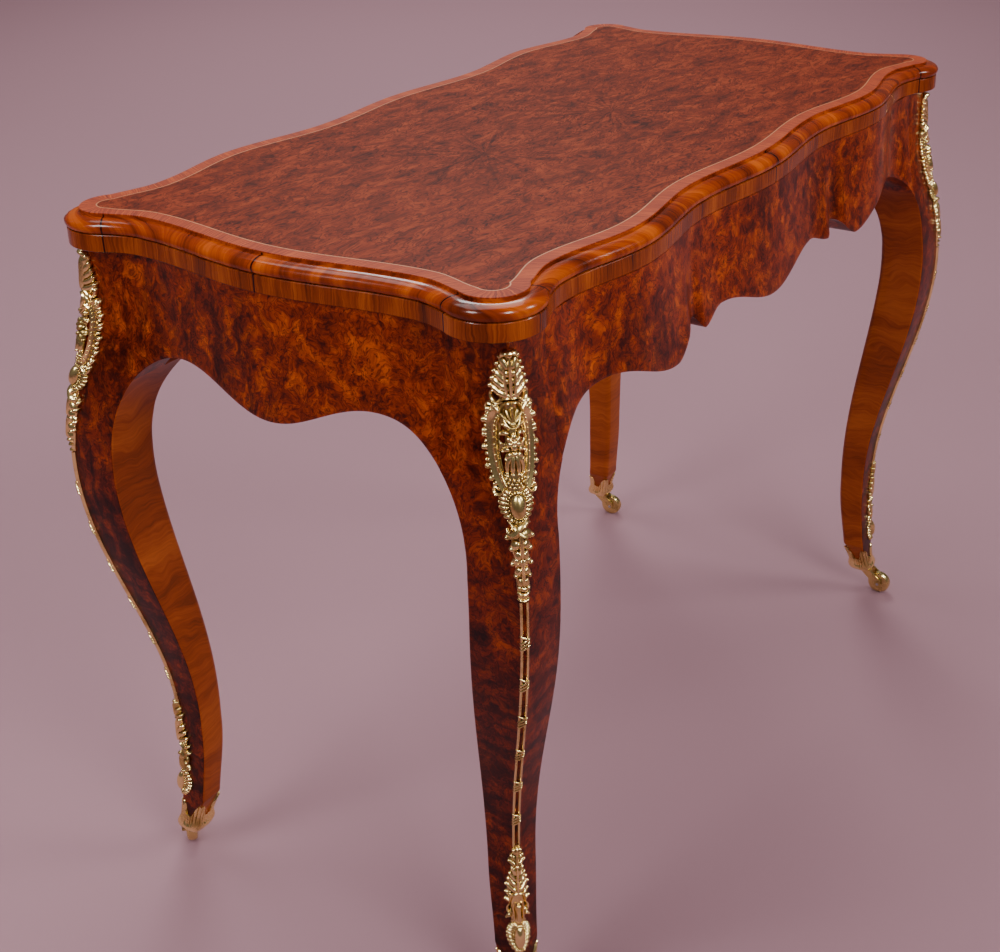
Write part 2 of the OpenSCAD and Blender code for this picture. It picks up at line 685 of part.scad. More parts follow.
module well_cleats() {
    low = well_floor_h - floor_t - cleat_w;
    carcass_wood() {
        for (s = [-1, 1]) translate([-joint_x + 2, s > 0 ? front_in - cleat_w : -front_in, low])
            cube([joint_x - 2 + divider_x0, cleat_w, cleat_w]);
        translate([-end_in, -joint_y + 2, low]) cube([cleat_w, 2 * (joint_y - 2), cleat_w]);
    }
}
module glue_blocks() {
    low = rail_low;
    carcass_wood() for (s = [-1, 1]) {
        for (x = [rail_x0 + rail_w, cross_rail_x + cross_rail_w / 2])
            translate([x, s > 0 ? front_in - glue_block : -front_in, low])
                cube([glue_block, glue_block, rail_t]);
        translate([joint_x - glue_block, s > 0 ? front_in - glue_block : -front_in, low])
            cube([glue_block, glue_block, rail_t]);
        translate([end_in - glue_block, s > 0 ? joint_y - glue_block : -joint_y, low])
            cube([glue_block, glue_block, rail_t]);
    }
}

// Leaves: two boards hinged along a straight fold that touches the lobes at the back
// Sunk field of a leaf: parallel to the edge on three sides, and straight beside the fold
module leaf_field(inset) {
    out = -border_w - inset;
    limit = lobe_y + front_dip - fold_border_w - inset;
    side = [for (v = spaced([0, limit], N_END)) [wave(end_line, v) + out, v]];
    front = quarter(out, border_w + leaf_gap);
    polygon(concat(
        side, [for (i = [N_END:-1:0]) [-side[i][0], side[i][1]]],
        [for (i = [1:len(front) - 1]) [-front[i][0], -front[i][1]]],
        [for (i = [len(front) - 2:-1:1]) [front[i][0], -front[i][1]]]
    ));
}
hinge_gap = 0.3;
module at_fold(z) {
    translate([0, fold_y, z]) children();
}
module along_x(r, x0, x1) {
    at_fold(parting_h) translate([x0, 0, 0]) rotate([0, 90, 0]) cylinder(r = r, h = x1 - x0);
}
// Room that both leaves leave for a hinge: the knuckles and the plate on this leaf's edge
module hinge_room(side) {
    reach = knuckle_r + hinge_gap;
    for (s = [-1, 1]) translate([s * hinge_x, 0, 0]) {
        translate([-hinge_len / 2 - hinge_gap, fold_y - reach, parting_h - reach])
            cube([hinge_len + 2 * hinge_gap, reach + 1, 2 * reach]);
        translate([-hinge_len / 2, fold_edge_y - hinge_plate_t, parting_h + min(0, side) * hinge_plate_h])
            cube([hinge_len, hinge_plate_t + 1, hinge_plate_h]);
    }
}
module hinge_plate(side) {
    lap = knuckle_r + hinge_gap;
    translate([-hinge_len / 2, fold_edge_y - hinge_plate_t, parting_h + (side > 0 ? lap : -hinge_plate_h)])
        cube([hinge_len, hinge_plate_t, hinge_plate_h - lap]);
}
// Three knuckles share the pin: the outer two belong to the lower plate, the middle one to the upper
knuckle_len = hinge_len / 3;
module knuckle(x0, x1, side) {
    difference() {
        union() {
            along_x(knuckle_r, x0, x1);
            translate([x0, fold_edge_y - hinge_plate_t, side > 0 ? parting_h : parting_h - knuckle_r - 1])
                cube([x1 - x0, hinge_plate_t, knuckle_r + 1]);
        }
        along_x(hinge_pin_r + hinge_fit, x0 - 1, x1 + 1);
    }
}
module lower_hinge_plates() {
    gilt_brass() for (s = [-1, 1]) translate([s * hinge_x, 0, 0]) {
        hinge_plate(-1);
        knuckle(-hinge_len / 2, -knuckle_len / 2 - hinge_gap / 2, -1);
        knuckle(knuckle_len / 2 + hinge_gap / 2, hinge_len / 2, -1);
    }
}
module upper_hinge_plates() {
    gilt_brass() for (s = [-1, 1]) translate([s * hinge_x, 0, 0]) {
        hinge_plate(1);
        knuckle(-knuckle_len / 2 + hinge_gap / 2, knuckle_len / 2 - hinge_gap / 2, 1);
    }
}
module hinge_pins() {
    steel() for (s = [-1, 1]) translate([s * hinge_x, 0, 0])
        along_x(hinge_pin_r, -hinge_len / 2, hinge_len / 2);
}
lower_top = parting_h - leaf_gap;
upper_low = parting_h + leaf_gap;
module lower_leaf() {
    walnut() difference() {
        prism(underside_h, lower_top) polygon(leaf_outline(lower_out));
        prism(lower_top - cloth_recess, lower_top + 1) leaf_field(0);
        hinge_room(-1);
        at_pivot() disc(flange_r, underside_h - 1, underside_h + flange_t);
        at_pivot() rotate([0, 0, STOP_ANGLE]) translate([stop_radius, 0, 0])
            disc(stop_peg_r, underside_h - 1, underside_h + flange_t);
    }
}
module lower_cloth() {
    green_cloth() prism(lower_top - cloth_recess, lower_top - cloth_low) leaf_field(cloth_gap);
}
module upper_cloth() {
    green_cloth() prism(upper_low + cloth_low, upper_low + cloth_recess) leaf_field(cloth_gap);
}
// Thumb moulding round the upper leaf: quarter round above its widest line, eased in below
thumb_top = table_h - quirk;
thumb_wide = mix(upper_low, thumb_top, 0.42);
thumb_step = 1.2;
thumb_under = 4.5;
core_top = table_h - veneer_t;
thumb_profile = concat(
    [[upper_low, -thumb_in]],
    [for (a = [90, 45])
        [thumb_wide - (thumb_wide - upper_low) * sin(a), thumb_out - thumb_under * (1 - cos(a))]],
    [for (a = [90, 66, 42, 20, 0])
        [thumb_wide + (thumb_top - thumb_wide) * cos(a), thumb_step + (thumb_out - thumb_step) * sin(a)]],
    [[thumb_top, 0], [core_top, 0], [core_top, -thumb_in]]
);
module thumb_moulding() {
    walnut() difference() {
        loft([for (p = thumb_profile) at_height(leaf_outline(p[1]), p[0])], closed = true);
        hinge_room(1);
    }
}
module upper_leaf() {
    walnut() difference() {
        prism(upper_low, core_top) polygon(leaf_outline(-thumb_in));
        prism(upper_low - 1, upper_low + cloth_recess) leaf_field(0);
    }
}
module panel_shape(grow) {
    polygon(outline(-band_w + grow, ear_r + grow));
}
module top_burr_panel() {
    color([0.60, 0.36, 0.28]) prism(core_top, table_h) panel_shape(0);
}
module top_stringing() {
    color([0.86, 0.70, 0.52]) prism(core_top, table_h) difference() {
        panel_shape(string_w);
        panel_shape(0);
    }
}
module top_crossband() {
    color([0.68, 0.34, 0.24]) prism(core_top, table_h) difference() {
        polygon(leaf_outline(0));
        panel_shape(string_w);
    }
}

// Swivel: the spindle hangs from the lower leaf through the rail and is held below by washer and nut
washer_t = 3;
nut_t = 10;
nut_r = 13;
module pivot_spindle() {
    steel() at_pivot() {
        disc(spindle_r, rail_low - washer_t - nut_t - 3, underside_h);
        difference() {
            disc(flange_r, underside_h, underside_h + flange_t);
            rotate([0, 0, STOP_ANGLE]) translate([stop_radius, 0, 0])
                disc(stop_peg_r, underside_h - 1, underside_h + flange_t + 1);
        }
    }
}
module pivot_washer() {
    steel() at_pivot() difference() {
        disc(bush_r + 5, rail_low - washer_t, rail_low - swivel_gap);
        disc(spindle_r, rail_low - washer_t - 1, rail_low);
    }
}
module pivot_nut() {
    steel() at_pivot() difference() {
        translate([0, 0, rail_low - washer_t - nut_t]) cylinder(r = nut_r, h = nut_t, $fn = 6);
        disc(spindle_r, rail_low - washer_t - nut_t - 1, rail_low);
    }
}
module stop_peg() {
    steel() at_pivot() rotate([0, 0, STOP_ANGLE]) translate([stop_radius, 0, 0])
        disc(stop_peg_r, frame_top - groove_d + 1, underside_h + flange_t);
}

front_apron();
back_apron();
left_apron();
right_apron();
pivot_rail();
cross_rail();
pivot_bush();
well_divider();
well_floor();
well_cleats();
glue_blocks();
lower_leaf();
lower_cloth();
pivot_spindle();
pivot_washer();
pivot_nut();
stop_peg();
lower_hinge_plates();
upper_leaf();
thumb_moulding();
upper_cloth();
upper_hinge_plates();
hinge_pins();
top_crossband();
top_stringing();
top_burr_panel();
for (i = [0:3]) {
    burr_walnut() leg_place(i) cabriole_leg();
    gilt_brass() leg_place(i) knee_mount();
    gilt_brass() leg_place(i) reed_strip();
    gilt_brass() leg_place(i) foot_mount();
    gilt_brass() leg_place(i) shoe();
    gilt_brass() castor_place(i) castor_fork();
    steel() castor_place(i) castor_axle();
    gilt_brass() castor_place(i) castor_wheel();
}
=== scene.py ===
import math

import bpy
from mathutils import Matrix, Vector


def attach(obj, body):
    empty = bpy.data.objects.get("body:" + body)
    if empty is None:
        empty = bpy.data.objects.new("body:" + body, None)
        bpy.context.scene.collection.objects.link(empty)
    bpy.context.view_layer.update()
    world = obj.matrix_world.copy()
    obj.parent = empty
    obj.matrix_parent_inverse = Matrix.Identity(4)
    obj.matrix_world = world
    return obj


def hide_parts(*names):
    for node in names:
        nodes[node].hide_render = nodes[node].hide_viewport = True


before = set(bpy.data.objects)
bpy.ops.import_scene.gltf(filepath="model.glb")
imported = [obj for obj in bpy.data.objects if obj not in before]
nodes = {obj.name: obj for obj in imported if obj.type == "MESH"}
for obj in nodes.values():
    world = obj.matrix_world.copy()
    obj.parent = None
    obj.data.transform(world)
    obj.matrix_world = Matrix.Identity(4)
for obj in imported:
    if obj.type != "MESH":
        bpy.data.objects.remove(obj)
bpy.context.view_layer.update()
bpy.ops.object.select_all(action="DESELECT")

# Camera: it stands at the left end, a little above the top, and looks along the table.
# Its place, turn, tilt and roll bring the table into the photograph's frame of 1000 by 952.
camera_place = (-1.3297, -0.8161, 1.1531)
camera_turn, camera_tilt, camera_roll = (math.radians(a) for a in (-56.73, 25.334, -1.204))
bpy.ops.object.camera_add(location=camera_place)
camera = bpy.context.object
turned = Matrix.Rotation(camera_turn, 3, "Z") @ Matrix.Rotation(math.pi / 2 - camera_tilt, 3, "X")
camera.rotation_euler = (turned @ Matrix.Rotation(camera_roll, 3, "Z")).to_euler()
camera.data.sensor_fit = "HORIZONTAL"
camera.data.lens = 53.841
camera.data.shift_x, camera.data.shift_y = -0.02677, -0.06808
bpy.context.scene.camera = camera

# Studio: a plain pale floor under an even pale surround. Low softboxes light the sides evenly and
# aren't mirrored in the polish, smaller ones high above them give the paired highlights, and one
# over the far corner brightens the background and lends the top its sheen.
def material(name, **finish):
    """A new material and its shader, with the finish set on the shader's own sockets."""
    made = bpy.data.materials.new(name)
    made.use_nodes = True
    shader = made.node_tree.nodes["Principled BSDF"]
    for key, value in finish.items():
        shader.inputs[key.replace("_", " ")].default_value = value
    return made, made.node_tree, shader


def dress(piece, *finishes):
    """Gives a piece these finishes in place of any that it has."""
    piece.data.materials.clear()
    for finish in finishes:
        piece.data.materials.append(finish)


bpy.ops.mesh.primitive_plane_add(size=14)
floor = bpy.context.object
floor.name = "floor"
floor_tone = (0.27, 0.145, 0.17, 1)
dress(floor, material("floor_paint", Base_Color=floor_tone, Roughness=0.75, Specular_IOR_Level=0.25)[0])

surround = bpy.data.worlds.new("surround")
surround.use_nodes = True
air = surround.node_tree.nodes["Background"].inputs
air["Color"].default_value, air["Strength"].default_value = (0.86, 0.76, 0.79, 1), 0.14
bpy.context.scene.world = surround


def softbox(name, place, aim, wide, high, power, **rays):
    turn = (Vector(aim) - Vector(place)).to_track_quat("-Z", "Y").to_euler()
    bpy.ops.object.light_add(type="AREA", location=place, rotation=turn)
    lamp = bpy.context.object
    lamp.name = name
    lamp.data.shape = "RECTANGLE"
    lamp.data.size, lamp.data.size_y, lamp.data.energy = wide, high, power
    for kind, seen in rays.items():
        setattr(lamp, "visible_" + kind, seen)


table_middle = (0, 0, 0.55)
softbox_h, highlight_h = 2.1, 3.4
for name, x, y, power in (("left", -2.5, 0.75, 58), ("right", -1.2, -2.5, 70), ("far", 1.7, -2.9, 66)):
    softbox(name + "_softbox", (x, y, softbox_h), table_middle, 1.3, 1.7, power, glossy=False)
    softbox(name + "_highlight", (x, y, highlight_h), table_middle, 0.8, 1.1, 1.5 * power, diffuse=False)
softbox("overhead", (0.4, 0.6, 2.9), table_middle, 2.2, 1.4, 45)
softbox("back_softbox", (-0.6, 3.2, 2.2), table_middle, 2.2, 1.6, 40, glossy=False)
softbox("backdrop_softbox", (3.4, 2.6, 4.3), (4.0, 3.0, 0), 2.0, 2.0, 230)

# Outline of the top: serpentine sides and ends that run into four round corner lobes. The top,
# the frieze and the legs all follow it. Sizes are in millimetres, and a skin is built in metres.
mm = 0.001
table_h, leaf_t = 750, 16
lobe_x, lobe_y, lobe_r = 445, 207, 29
dip_x, crest_x, neck_x = 135, 265, 379
front_dip, front_neck, end_dip = 12, 11, 14
front_line = [(0, lobe_y + 23), (dip_x, lobe_y + front_dip), (crest_x, lobe_y + 27),
              (neck_x, lobe_y + front_neck), (lobe_x, lobe_y + 24.5)]
end_line = [(0, lobe_x + 31), (151, lobe_x + end_dip), (lobe_y, lobe_x + 27)]
end_steps, lobe_steps, front_steps = 26, 22, 64
parting_h = table_h - leaf_t
underside_h = parting_h - leaf_t
swivel_gap, leaf_gap = 0.3, 0.1
frame_top = underside_h - swivel_gap
fold_y = lobe_y + lobe_r
fold_edge_y = fold_y - leaf_gap


def mix(a, b, t):
    return a + (b - a) * t


def ease(t):
    return (1 - math.cos(math.pi * max(0, min(1, t)))) / 2


def wave(stations, place):
    """Serpentine line through (place, value) stations, level at each of them."""
    for (a, low), (b, high) in zip(stations, stations[1:]):
        if place <= b or b == stations[-1][0]:
            return mix(low, high, ease((place - a) / (b - a)))


def meet(line, out, along, across, r):
    """Place along a side where it meets the lobe of radius r."""
    low, high = along - r, along
    for _ in range(30):
        middle = (low + high) / 2
        if wave(line, middle) + out > across + math.sqrt(r * r - (middle - along) ** 2):
            low = middle
        else:
            high = middle
    return low


def quarter(out, r):
    """From the middle of an end, round the lobe, to the middle of a side, moved out or in."""
    x, y = meet(front_line, out, lobe_x, lobe_y, r), meet(end_line, out, lobe_y, lobe_x, r)
    a = math.atan2(y - lobe_y, wave(end_line, y) + out - lobe_x)
    b = math.atan2(wave(front_line, x) + out - lobe_y, x - lobe_x)
    end = [(wave(end_line, y * i / end_steps) + out, y * i / end_steps) for i in range(end_steps)]
    turns = [mix(a, b, i / lobe_steps) for i in range(lobe_steps + 1)]
    lobe = [(lobe_x + r * math.cos(t), lobe_y + r * math.sin(t)) for t in turns]
    places = [x * (1 - i / front_steps) for i in range(1, front_steps + 1)]
    return end + lobe + [(u, wave(front_line, u) + out) for u in places]


def all_round(back, front):
    """A closed outline from its back and front right-hand quarters, mirrored to the left."""
    return (back + [(-x, y) for x, y in back[-2::-1]]
            + [(-x, -y) for x, y in front[1:]] + [(x, -y) for x, y in front[-2:0:-1]])


def outline(out, r):
    return all_round(quarter(out, r), quarter(out, r))


def leaf_outline(out):
    """The same outline cut straight along the fold."""
    return [(x, min(y, fold_edge_y)) for x, y in outline(out, lobe_r + out)]


def at_height(points, z):
    return [(x, y, z) for x, y in points]


def length_along(points):
    total = [0.0]
    for a, b in zip(points, points[1:]):
        total.append(total[-1] + math.dist(a, b))
    return total


def skin(name, rows, sharp=35, mitres=()):
    """Bends a grid primitive over closed rows of points, and closes its seam and its ends.
    Its UV map runs along the first row and across the rows, in metres. The columns of mitres
    are marked in an attribute of that name."""
    rows = [row + row[:1] for row in rows]
    wide = len(rows[0])
    bpy.ops.mesh.primitive_grid_add(x_subdivisions=wide - 1, y_subdivisions=len(rows) - 1)
    piece = bpy.context.object
    piece.name = name
    mesh = piece.data
    mesh.vertices.foreach_set("co", [c * mm for row in rows for point in row for c in point])
    along, across = length_along(rows[0]), length_along([row[0] for row in rows])
    for loop, spot in zip(mesh.loops, mesh.uv_layers[0].data):
        spot.uv = (along[loop.vertex_index % wide] * mm, across[loop.vertex_index // wide] * mm)
    if mitres:
        marked = mesh.attributes.new("mitre", "FLOAT", "POINT")
        marked.data.foreach_set("value", [float(i % wide in mitres) for i in range(len(mesh.vertices))])
    bpy.ops.object.mode_set(mode="EDIT")
    bpy.ops.mesh.select_all(action="SELECT")
    bpy.ops.mesh.remove_doubles(threshold=1e-6)
    bpy.ops.mesh.fill_holes(sides=0)
    bpy.ops.mesh.select_all(action="SELECT")
    bpy.ops.mesh.normals_make_consistent(inside=False)
    bpy.ops.object.mode_set(mode="OBJECT")
    bpy.ops.object.shade_smooth_by_angle(angle=math.radians(sharp))
    return piece


# Cabriole legs: each is sawn from solid walnut and veneered on its two outer faces. The outer
# arris follows an S line in the diagonal plane, and the inner sides sweep up into the aprons.
SIDES = {"front_left": (-1, -1), "front_right": (1, -1), "back_left": (-1, 1), "back_right": (1, 1)}
diagonal = math.sqrt(0.5)
leg_x, leg_y = lobe_x + 5, lobe_y + 11.5
knee, block_low = table_h - 260, table_h - 154
front_spring, end_spring = table_h - 210, table_h - 240
front_arch_x, front_arch = 327, table_h - 116
end_arch_y, end_arch = 105, table_h - 121
shoe_h, toe_h, ankle_h = 36, 78, 186
knee_out, ankle_out, foot_out, head_out = 59, -4.5, 10, 19.5
knee_w, ankle_w, toe_w, foot_w = 56, 33.5, 30.5, 23
slim_h, broad_h = ankle_h - 18, knee - 28
leg_foot_h = shoe_h + 12
arris_r, corner_steps = 1.2, 5


def arris_out(z):
    """How far the arris stands out along the diagonal at height z."""
    if z < ankle_h:
        return ankle_out + (foot_out - ankle_out) * ((ankle_h - z) / (ankle_h - shoe_h)) ** 2
    return wave([(ankle_h, ankle_out), (knee, knee_out), (frame_top, head_out)], z)


def arris_x(z):
    return leg_x + diagonal * arris_out(z)


def arris_y(z):
    return leg_y + diagonal * arris_out(z)


def face_w(z):
    """Width of each outer face of the leg at height z."""
    if z < toe_h:
        return mix(foot_w, toe_w, ((z - shoe_h) / (toe_h - shoe_h)) ** 2)
    return wave([(toe_h, toe_w), (slim_h, ankle_w), (broad_h, knee_w)], min(z, broad_h))


def sweep_in(z, side, arch, spring_h, arch_h):
    """Elliptical sweep from the side of the leg into the arch of an apron."""
    return arch + (side - arch) * math.sqrt(1 - ((z - spring_h) / (arch_h - spring_h)) ** 2)


front_side = arris_x(front_spring) - face_w(front_spring)
end_side = arris_y(end_spring) - face_w(end_spring)


def inner_x(z):
    if z <= front_spring:
        return arris_x(z) - face_w(z)
    return sweep_in(min(z, block_low), front_side, front_arch_x, front_spring, front_arch)


def inner_y(z):
    if z <= end_spring:
        return arris_y(z) - face_w(z)
    return sweep_in(min(z, block_low), end_side, end_arch_y, end_spring, end_arch)


joint_x, joint_y = inner_x(frame_top), inner_y(frame_top)


def leg_section(z):
    """Section at height z with an arc at each corner: outer edges, arris and inner corner."""
    x1, y1, x0, y0 = arris_x(z), arris_y(z), inner_x(z), inner_y(z)
    edge = mix(2, 0.4, ease((z - front_spring) / (block_low - front_spring)))
    inner = mix(7, 0.8, ease((z - end_spring) / (block_low - end_spring)))
    points = []
    for cx, cy, r, first in ((x1 - edge, y0 + edge, edge, -90), (x1 - arris_r, y1 - arris_r, arris_r, 0),
                             (x0 + edge, y1 - edge, edge, 90), (x0 + inner, y0 + inner, inner, 180)):
        for i in range(corner_steps + 1):
            t = math.radians(first + 90 * i / corner_steps)
            points.append((cx + r * math.cos(t), cy + r * math.sin(t)))
    return points


leg_levels = sorted({leg_foot_h, toe_h, front_spring, end_spring, block_low, frame_top, *range(52, 716, 4)})
unstained = (1, 1, 1, 1)


def stain(*shades):
    """Colour of a finish from its red, green and blue of 0 to 255, made linear."""
    return (*(((c / 255 + 0.055) / 1.055) ** 2.4 if c > 10 else c / 255 / 12.92 for c in shades), 1)


def node(tree, kind, inputs=None, **settings):
    made = tree.nodes.new("ShaderNode" + kind)
    for key, value in settings.items():
        setattr(made, key, value)
    for key, value in (inputs or {}).items():
        if isinstance(value, bpy.types.NodeSocket):
            tree.links.new(value, made.inputs[key])
        else:
            made.inputs[key].default_value = value
    return made


def own_place(tree):
    return node(tree, "TexCoord").outputs["Object"]


def mapped(tree, place, **how):
    return node(tree, "Mapping", {"Vector": place, **how}).outputs["Vector"]


def noise(tree, place, scale, detail, gives="Fac", **more):
    """A cloudy pattern. Its colour is used where it pushes another pattern about."""
    return node(tree, "TexNoise", {"Vector": place, "Scale": scale, "Detail": detail, **more}).outputs[gives]


def worked(tree, operation, *terms):
    return node(tree, "Math", dict(enumerate(terms)), operation=operation).outputs[0]


def ranged(tree, value, low, high, top=1.0, bottom=0.0):
    """The bottom figure up to the low value, and the top figure from the high one."""
    spans = {"Value": value, "From Min": low, "From Max": high, "To Min": bottom, "To Max": top}
    return node(tree, "MapRange", spans).outputs["Result"]


def ramp(tree, factor, stops):
    made = node(tree, "ValToRGB", {"Fac": factor})
    for i, (place, colour) in enumerate(stops):
        element = made.color_ramp.elements[i] if i < 2 else made.color_ramp.elements.new(place)
        element.position, element.color = place, colour
    return made.outputs["Color"]


def blended(tree, kind, amount, a, b):
    return node(tree, "MixRGB", {"Fac": amount, "Color1": a, "Color2": b}, blend_type=kind).outputs["Color"]


def toned(tree, amount, colour, pattern, stops):
    """The colour, darkened by an amount of a pattern's own tones."""
    return blended(tree, "MULTIPLY", amount, colour, ramp(tree, pattern, stops))


def grained(tree, shader, colour, grain, depth=0.05):
    """Colours a surface, and gives it a trace of relief from its grain."""
    bump = node(tree, "Bump", {"Strength": depth, "Distance": 0.0006, "Height": grain})
    tree.links.new(colour, shader.inputs["Base Color"])
    tree.links.new(bump.outputs["Normal"], shader.inputs["Normal"])


def fanned(tree, colour, whole, centre, turned):
    """Streaks that spread from a centre, mirrored about its axis as in matched leaves of veneer."""
    place = mapped(tree, whole, Location=(-centre[0], -centre[1], 0))
    parts = node(tree, "SeparateXYZ", {"Vector": mapped(tree, place, Rotation=(0, 0, turned))}).outputs
    flat = node(tree, "CombineXYZ", {"X": parts["X"], "Y": parts["Y"]}).outputs["Vector"]
    angle = worked(tree, "ARCTAN2", worked(tree, "ABSOLUTE", parts["Y"]), parts["X"])
    away = node(tree, "VectorMath", {0: flat}, operation="LENGTH").outputs["Value"]
    polar = node(tree, "CombineXYZ", {"X": angle, "Y": away}).outputs["Vector"]
    streak = noise(tree, mapped(tree, polar, Scale=(5, 14, 1)), 1.6, 4.0, Roughness=0.6)
    near = ranged(tree, away, 0.15, 0.04, 0.75)
    return toned(tree, near, colour, streak, [(0.38, stain(120, 84, 78)), (0.52, unstained)])


def figured_walnut(name, dark, middle, light, size=1.0, stretch=(1, 1, 1), turn=0.0, streaks=0.0,
                   ripple=0.0, painted_shade=None, fans=(), finish=None):
    """Burr or crotch veneer: clouds drawn out along the grain, dark curling contour lines, small
    eyes in clusters, streaks or ripples in places, and fine pores under the polish. Where asked,
    painted shade darkens it towards the bottom."""
    made, tree, shader = material(name, **(finish or polished))
    whole = own_place(tree)
    place = mapped(tree, whole, Rotation=(0, 0, turn), Scale=stretch)
    bent = blended(tree, "LINEAR_LIGHT", 0.032 / size, place, noise(tree, place, 16.0 * size, 3.0, "Color"))
    curled = blended(tree, "LINEAR_LIGHT", 0.009 / size, bent, noise(tree, bent, 70.0 * size, 2.0, "Color"))
    clouds = noise(tree, curled, 30.0 * size, 7.0, Roughness=0.62)
    colour = ramp(tree, clouds, [(0.32, dark), (0.5, middle), (0.68, light)])
    if streaks:
        strands = noise(tree, mapped(tree, bent, Scale=(95, 95, 9)), 1.0, 4.0, Roughness=0.6)
        amount = ranged(tree, noise(tree, place, 6.0, 1.0), 0.44, 0.56, streaks)
        colour = toned(tree, amount, colour, strands, [(0.36, stain(95, 60, 50)), (0.58, unstained)])
    line, thin_line = stain(120, 78, 60), stain(150, 112, 92)
    colour = toned(tree, 0.8, colour, noise(tree, curled, 36.0 * size, 1.5), [
        (0.39, unstained), (0.42, line), (0.45, unstained), (0.5, unstained), (0.515, thin_line),
        (0.535, unstained), (0.58, unstained), (0.6, line), (0.63, unstained)])
    eyes = node(tree, "TexVoronoi", {"Vector": bent, "Scale": 120.0 * size}).outputs["Distance"]
    amount = ranged(tree, noise(tree, place, 13.0 * size, 1.0), 0.5, 0.6, 0.8)
    colour = toned(tree, amount, colour, eyes, [(0.1, stain(90, 50, 35)), (0.36, unstained)])
    for x, y, turned in fans:
        colour = fanned(tree, colour, whole, (x * mm, y * mm), turned)
    height = node(tree, "SeparateXYZ", {"Vector": whole}).outputs["Z"]
    if ripple:
        waves = noise(tree, mapped(tree, curled, Rotation=(0.6, 0.5, 0), Scale=(18, 18, 85)), 1.0, 4.0)
        amount = ranged(tree, height, 0.58, 0.4, ripple)
        colour = toned(tree, amount, colour, waves, [(0.38, stain(110, 75, 65)), (0.56, unstained)])
    # Painted shade: the colour darkens towards the bottom, from none at the first height to the full tone at
    # the second.
    if painted_shade:
        high, low, tone = painted_shade
        colour = blended(tree, "MULTIPLY", ranged(tree, height, high, low), colour, tone)
    pores = noise(tree, mapped(tree, curled, Scale=(330, 330, 90)), 1.0, 4.0, Roughness=0.7)
    colour = toned(tree, 0.55, colour, pores, [(0.36, stain(120, 85, 70)), (0.56, unstained)])
    grained(tree, shader, colour, pores)
    return made


polished = {"Roughness": 0.36, "Specular_IOR_Level": 0.12, "Coat_Weight": 0.18, "Coat_Roughness": 0.07}
frieze_stains = stain(56, 10, 0), stain(124, 38, 1), stain(172, 72, 4)
# The legs carry painted shade: their veneer darkens from the top of the frame down to half a metre up.
leg_veneer = figured_walnut("leg_walnut_veneer", *frieze_stains, 2.0, streaks=0.8, ripple=0.8,
                            painted_shade=(0.72, 0.5, stain(205, 186, 190)))

# The inner faces of the legs carry plain walnut laid across them, in soft dark and light bands.
leg_inner, tree, shader = material("leg_inner_walnut", **polished)
whole = own_place(tree)
bent = blended(tree, "LINEAR_LIGHT", 0.02, whole, noise(tree, whole, 22.0, 2.0, "Color"))
lay = (0.15, 0.2, 0)
bands = noise(tree, mapped(tree, bent, Rotation=lay, Scale=(3, 3, 30)), 1.0, 3.0)
lines = noise(tree, mapped(tree, bent, Rotation=lay, Scale=(25, 25, 420)), 1.0, 4.0, Roughness=0.65)
figure = blended(tree, "MIX", 0.4, bands, lines)
tones = [(0.34, stain(96, 37, 8)), (0.47, stain(129, 53, 12)), (0.64, stain(156, 74, 22))]
grained(tree, shader, ramp(tree, figure, tones), lines)
for leg, (sx, sy) in SIDES.items():
    rows = [at_height([(sx * x, sy * y) for x, y in leg_section(z)], z) for z in leg_levels]
    piece = skin("cabriole_leg_" + leg, rows)
    dress(piece, leg_veneer, leg_inner)
    for face in piece.data.polygons:
        face.material_index = int(face.normal.x * sx < -0.6 or face.normal.y * sy < -0.6)
    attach(piece, "frame")
    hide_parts("leg_" + leg)

# Aprons: sawn from thick plain stock to a serpentine face that swells out downwards, and veneered
# with burr walnut outside. Each is tenoned between two legs, its lower edge cut to a shaped line.
shoulder_x, tooth_x, notch_x, side_lobe_x = 106, 148, 165, 215
edge_line = [(0, table_h - 146), (shoulder_x, table_h - 123), (tooth_x, table_h - 133),
             (notch_x, table_h - 118), (side_lobe_x, table_h - 144), (front_arch_x, front_arch)]
front_swell = [(0, 6.5), (shoulder_x, 8), (tooth_x, 13), (notch_x, 4.5), (mix(notch_x, side_lobe_x, 0.5), 11),
               (crest_x, 5), (front_arch_x, 3.5)]
end_edge_line = [(0, table_h - 150), (end_arch_y, end_arch)]
end_swell = [(0, 2), (end_arch_y, 3)]
front_over, end_over, apron_t, swell_power = 12.5, 10, 30, 1.6
front_in, end_in = lobe_y + front_neck + front_over - apron_t, lobe_x + end_dip + end_over - apron_t
apron_step, face_steps, eased_edge = 3.0, 22, 0.5


def edge_height(u, line, side, arch_at, spring_h, arch_h):
    if u <= arch_at:
        return wave(line, u)
    return spring_h + (arch_h - spring_h) * math.sqrt(1 - ((u - arch_at) / (side - arch_at)) ** 2)


def apron_rows(half, line, side, arch_at, spring_h, arch_h, top_line, over, swell, arris, inside, turn):
    """Sections across an apron, one at every step along it, turned to its side of the table."""
    count = round(2 * half / apron_step)
    rows = []
    for i in range(count + 1):
        x = mix(-half, half, i / count)
        u = abs(x)
        edge = edge_height(u, line, side, arch_at, spring_h, arch_h)
        section = []
        for t in [j / face_steps for j in range(face_steps)] + [0.985, 1]:
            z = mix(frame_top, edge, t)
            drop = max(0, frame_top - z) / (frame_top - edge)
            out = wave(top_line, u) + over + wave(swell, u) * drop ** swell_power
            out = mix(out, arris(z), ease((u - arch_at) / (half - arch_at)))
            section.append((x, -out + (eased_edge if t == 1 else 0), z))
        section += [(x, -inside, edge), (x, -inside, frame_top)]
        rows.append([(x * math.cos(turn) - y * math.sin(turn), x * math.sin(turn) + y * math.cos(turn), z)
                     for x, y, z in section])
    return rows


